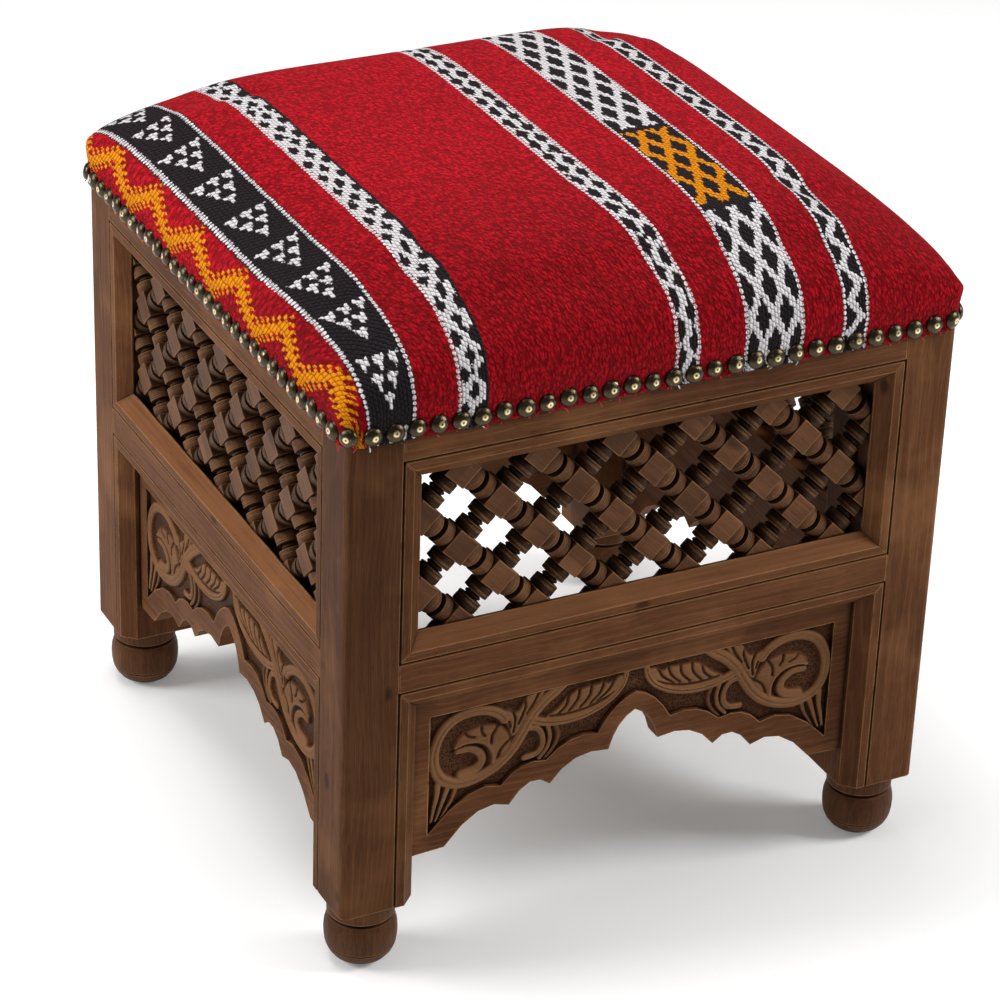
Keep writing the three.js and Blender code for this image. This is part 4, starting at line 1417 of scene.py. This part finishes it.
class KURSI_OT_yarn(bpy.types.Operator):
    """Adds the loose yarn ends below the hem"""
    bl_idname = "kursi.yarn"
    bl_label = "Yarn ends"

    def execute(self, context):
        nail = context.scene.kursi_nail
        rug = context.scene.kursi_rug
        form = SeatForm(rug)
        rng = np.random.default_rng(7)
        around = 5    # corners of a yarn's section
        angles = [2 * math.pi * k / around for k in range(around)]
        section = [Vector((math.cos(a), math.sin(a), 0.0)) for a in angles]
        vertices, faces, tints = [], [], []
        for _ in range(nail.yarns):
            side = int(rng.integers(4))
            place = rng.uniform(-0.97, 0.97) * form.reach
            start = Vector((place, -form.reach + 0.2 * MM, form.hem + rng.uniform(0.5, 3.0) * MM))
            reach = rng.uniform(1.5, 4.0) * MM
            swing = rng.uniform(-1, 1) * reach
            middle = start + Vector((swing * 0.4, -rng.uniform(0.3, 1.4) * MM, -reach * 0.5))
            end = start + Vector((swing, -rng.uniform(0.1, 1.2) * MM, -reach))
            radius = rng.uniform(0.28, 0.5) * MM
            base = len(vertices)
            turn = side_turn(side)
            for point, width in ((start, 1.0), (middle, 1.05), (end, 0.75)):
                vertices += [turn @ (point + corner * (radius * width)) for corner in section]
            for low in (base, base + around):
                for k in range(around):
                    n = (k + 1) % around
                    faces.append((low + k, low + around + k, low + around + n, low + n))
            faces.append(tuple(base + k for k in range(around)))
            faces.append(tuple(base + 2 * around + k for k in reversed(range(around))))
            tints += [yarn_tint(side, place, rng)] * (3 * around)
        obj = piece("hem_yarns", vertices, faces)
        store(obj.data, "tint", tints)
        obj.data.shade_smooth()
        set_material(obj, loose_wool(rug))
        ride_as(obj, "wool_rug")
        return {"FINISHED"}


# Stage

def look_matrix(view):
    """The camera's own axes: right, up and back, turned by its roll."""
    a, e, r = view.heading, view.height, view.roll
    back = Vector((math.sin(a) * math.cos(e), -math.cos(a) * math.cos(e), math.sin(e)))
    right = Vector((math.cos(a), math.sin(a), 0.0))
    up = back.cross(right)
    rolled_right = right * math.cos(r) + up * math.sin(r)
    rolled_up = up * math.cos(r) - right * math.sin(r)
    turn = Matrix((rolled_right, rolled_up, back)).transposed().to_4x4()
    return Matrix.Translation(Vector(view.place)) @ turn


def soft_light(name, place, target, size, power):
    data = bpy.data.lights.new(name, "AREA")
    data.shape = "RECTANGLE"
    data.size = data.size_y = size
    data.energy = power
    light = new_object(name, data)
    light.location = place
    light.rotation_euler = (Vector(target) - Vector(place)).to_track_quat("-Z", "Y").to_euler()


class KURSI_OT_stage(bpy.types.Operator):
    """Sets the floor, the lights and the camera"""
    bl_idname = "kursi.stage"
    bl_label = "Stage"

    def execute(self, context):
        view = context.scene.kursi_view
        reach = view.floor_reach
        floor = piece("floor", [(-reach, -reach, 0), (reach, -reach, 0), (reach, reach, 0), (-reach, reach, 0)],
                      [(0, 1, 2, 3)])
        recipe = Recipe("pale floor", opaque(view.floor_colour))
        grain = recipe.noise(recipe.places(), 0.004, 2.0)
        recipe.lay(grain * 0.2, opaque(view.floor_colour, 0.96))
        # The floor glows with painted light of its own, not a lamp, which brightens it and the shade under the
        # stool
        set_material(floor, recipe.finish(0.8, recipe.bump(grain, 0.2 * MM), Emission_Color=WHITE,
                                          Emission_Strength=view.glow))
        context.scene.view_settings.view_transform = "Standard"
        world = bpy.data.worlds.new("studio")
        context.scene.world = world
        world.use_nodes = True
        backdrop = world.node_tree.nodes["Background"]
        backdrop.inputs["Color"].default_value = WHITE
        backdrop.inputs["Strength"].default_value = view.ambient
        seat = (0.0, 0.0, 0.3)
        for name, place, size, power in (
            ("overhead", (-0.3, 0.3, 2.45), 1.3, view.overhead),
            ("left panel", (-1.95, 0.62, 1.3), 0.9, view.left_light),
            ("right panel", (1.9, -1.0, 1.45), 0.8, view.right_light),
        ):
            soft_light(name, place, seat, size, power)
        data = bpy.data.cameras.new("camera")
        data.lens = view.lens
        data.sensor_width = 36.0
        data.clip_end = 50.0
        camera = new_object("camera", data)
        camera.matrix_world = look_matrix(view)
        context.scene.camera = camera
        return {"FINISHED"}


class KURSI_PT_panel(bpy.types.Panel):
    """Lists the stool's pieces"""
    bl_idname = "KURSI_PT_panel"
    bl_label = "Kursi stool"
    bl_space_type = "VIEW_3D"
    bl_region_type = "UI"
    bl_category = "Kursi"

    def draw(self, context):
        for operator in OPERATORS:
            self.layout.operator(operator.bl_idname)
        for name in SETTINGS:
            box = self.layout.box()
            group = getattr(context.scene, name)
            for key in group.bl_rna.properties.keys():
                if key not in ("rna_type", "name"):
                    box.prop(group, key)


OPERATORS = (KURSI_OT_stage, KURSI_OT_frame_finish, KURSI_OT_feet, KURSI_OT_lattices, KURSI_OT_carving,
             KURSI_OT_pad, KURSI_OT_rug, KURSI_OT_nails, KURSI_OT_yarn)


def register():
    for kind in (*SETTINGS.values(), *OPERATORS, KURSI_PT_panel):
        bpy.utils.register_class(kind)
    for name, kind in SETTINGS.items():
        setattr(bpy.types.Scene, name, PointerProperty(type=kind))


def unregister():
    for name in SETTINGS:
        delattr(bpy.types.Scene, name)
    for kind in (KURSI_PT_panel, *reversed(OPERATORS), *reversed(SETTINGS.values())):
        bpy.utils.unregister_class(kind)


def main():
    register()
    for operator in OPERATORS:
        group, name = operator.bl_idname.split(".")
        getattr(getattr(bpy.ops, group), name)()


if __name__ == "__main__":
    main()
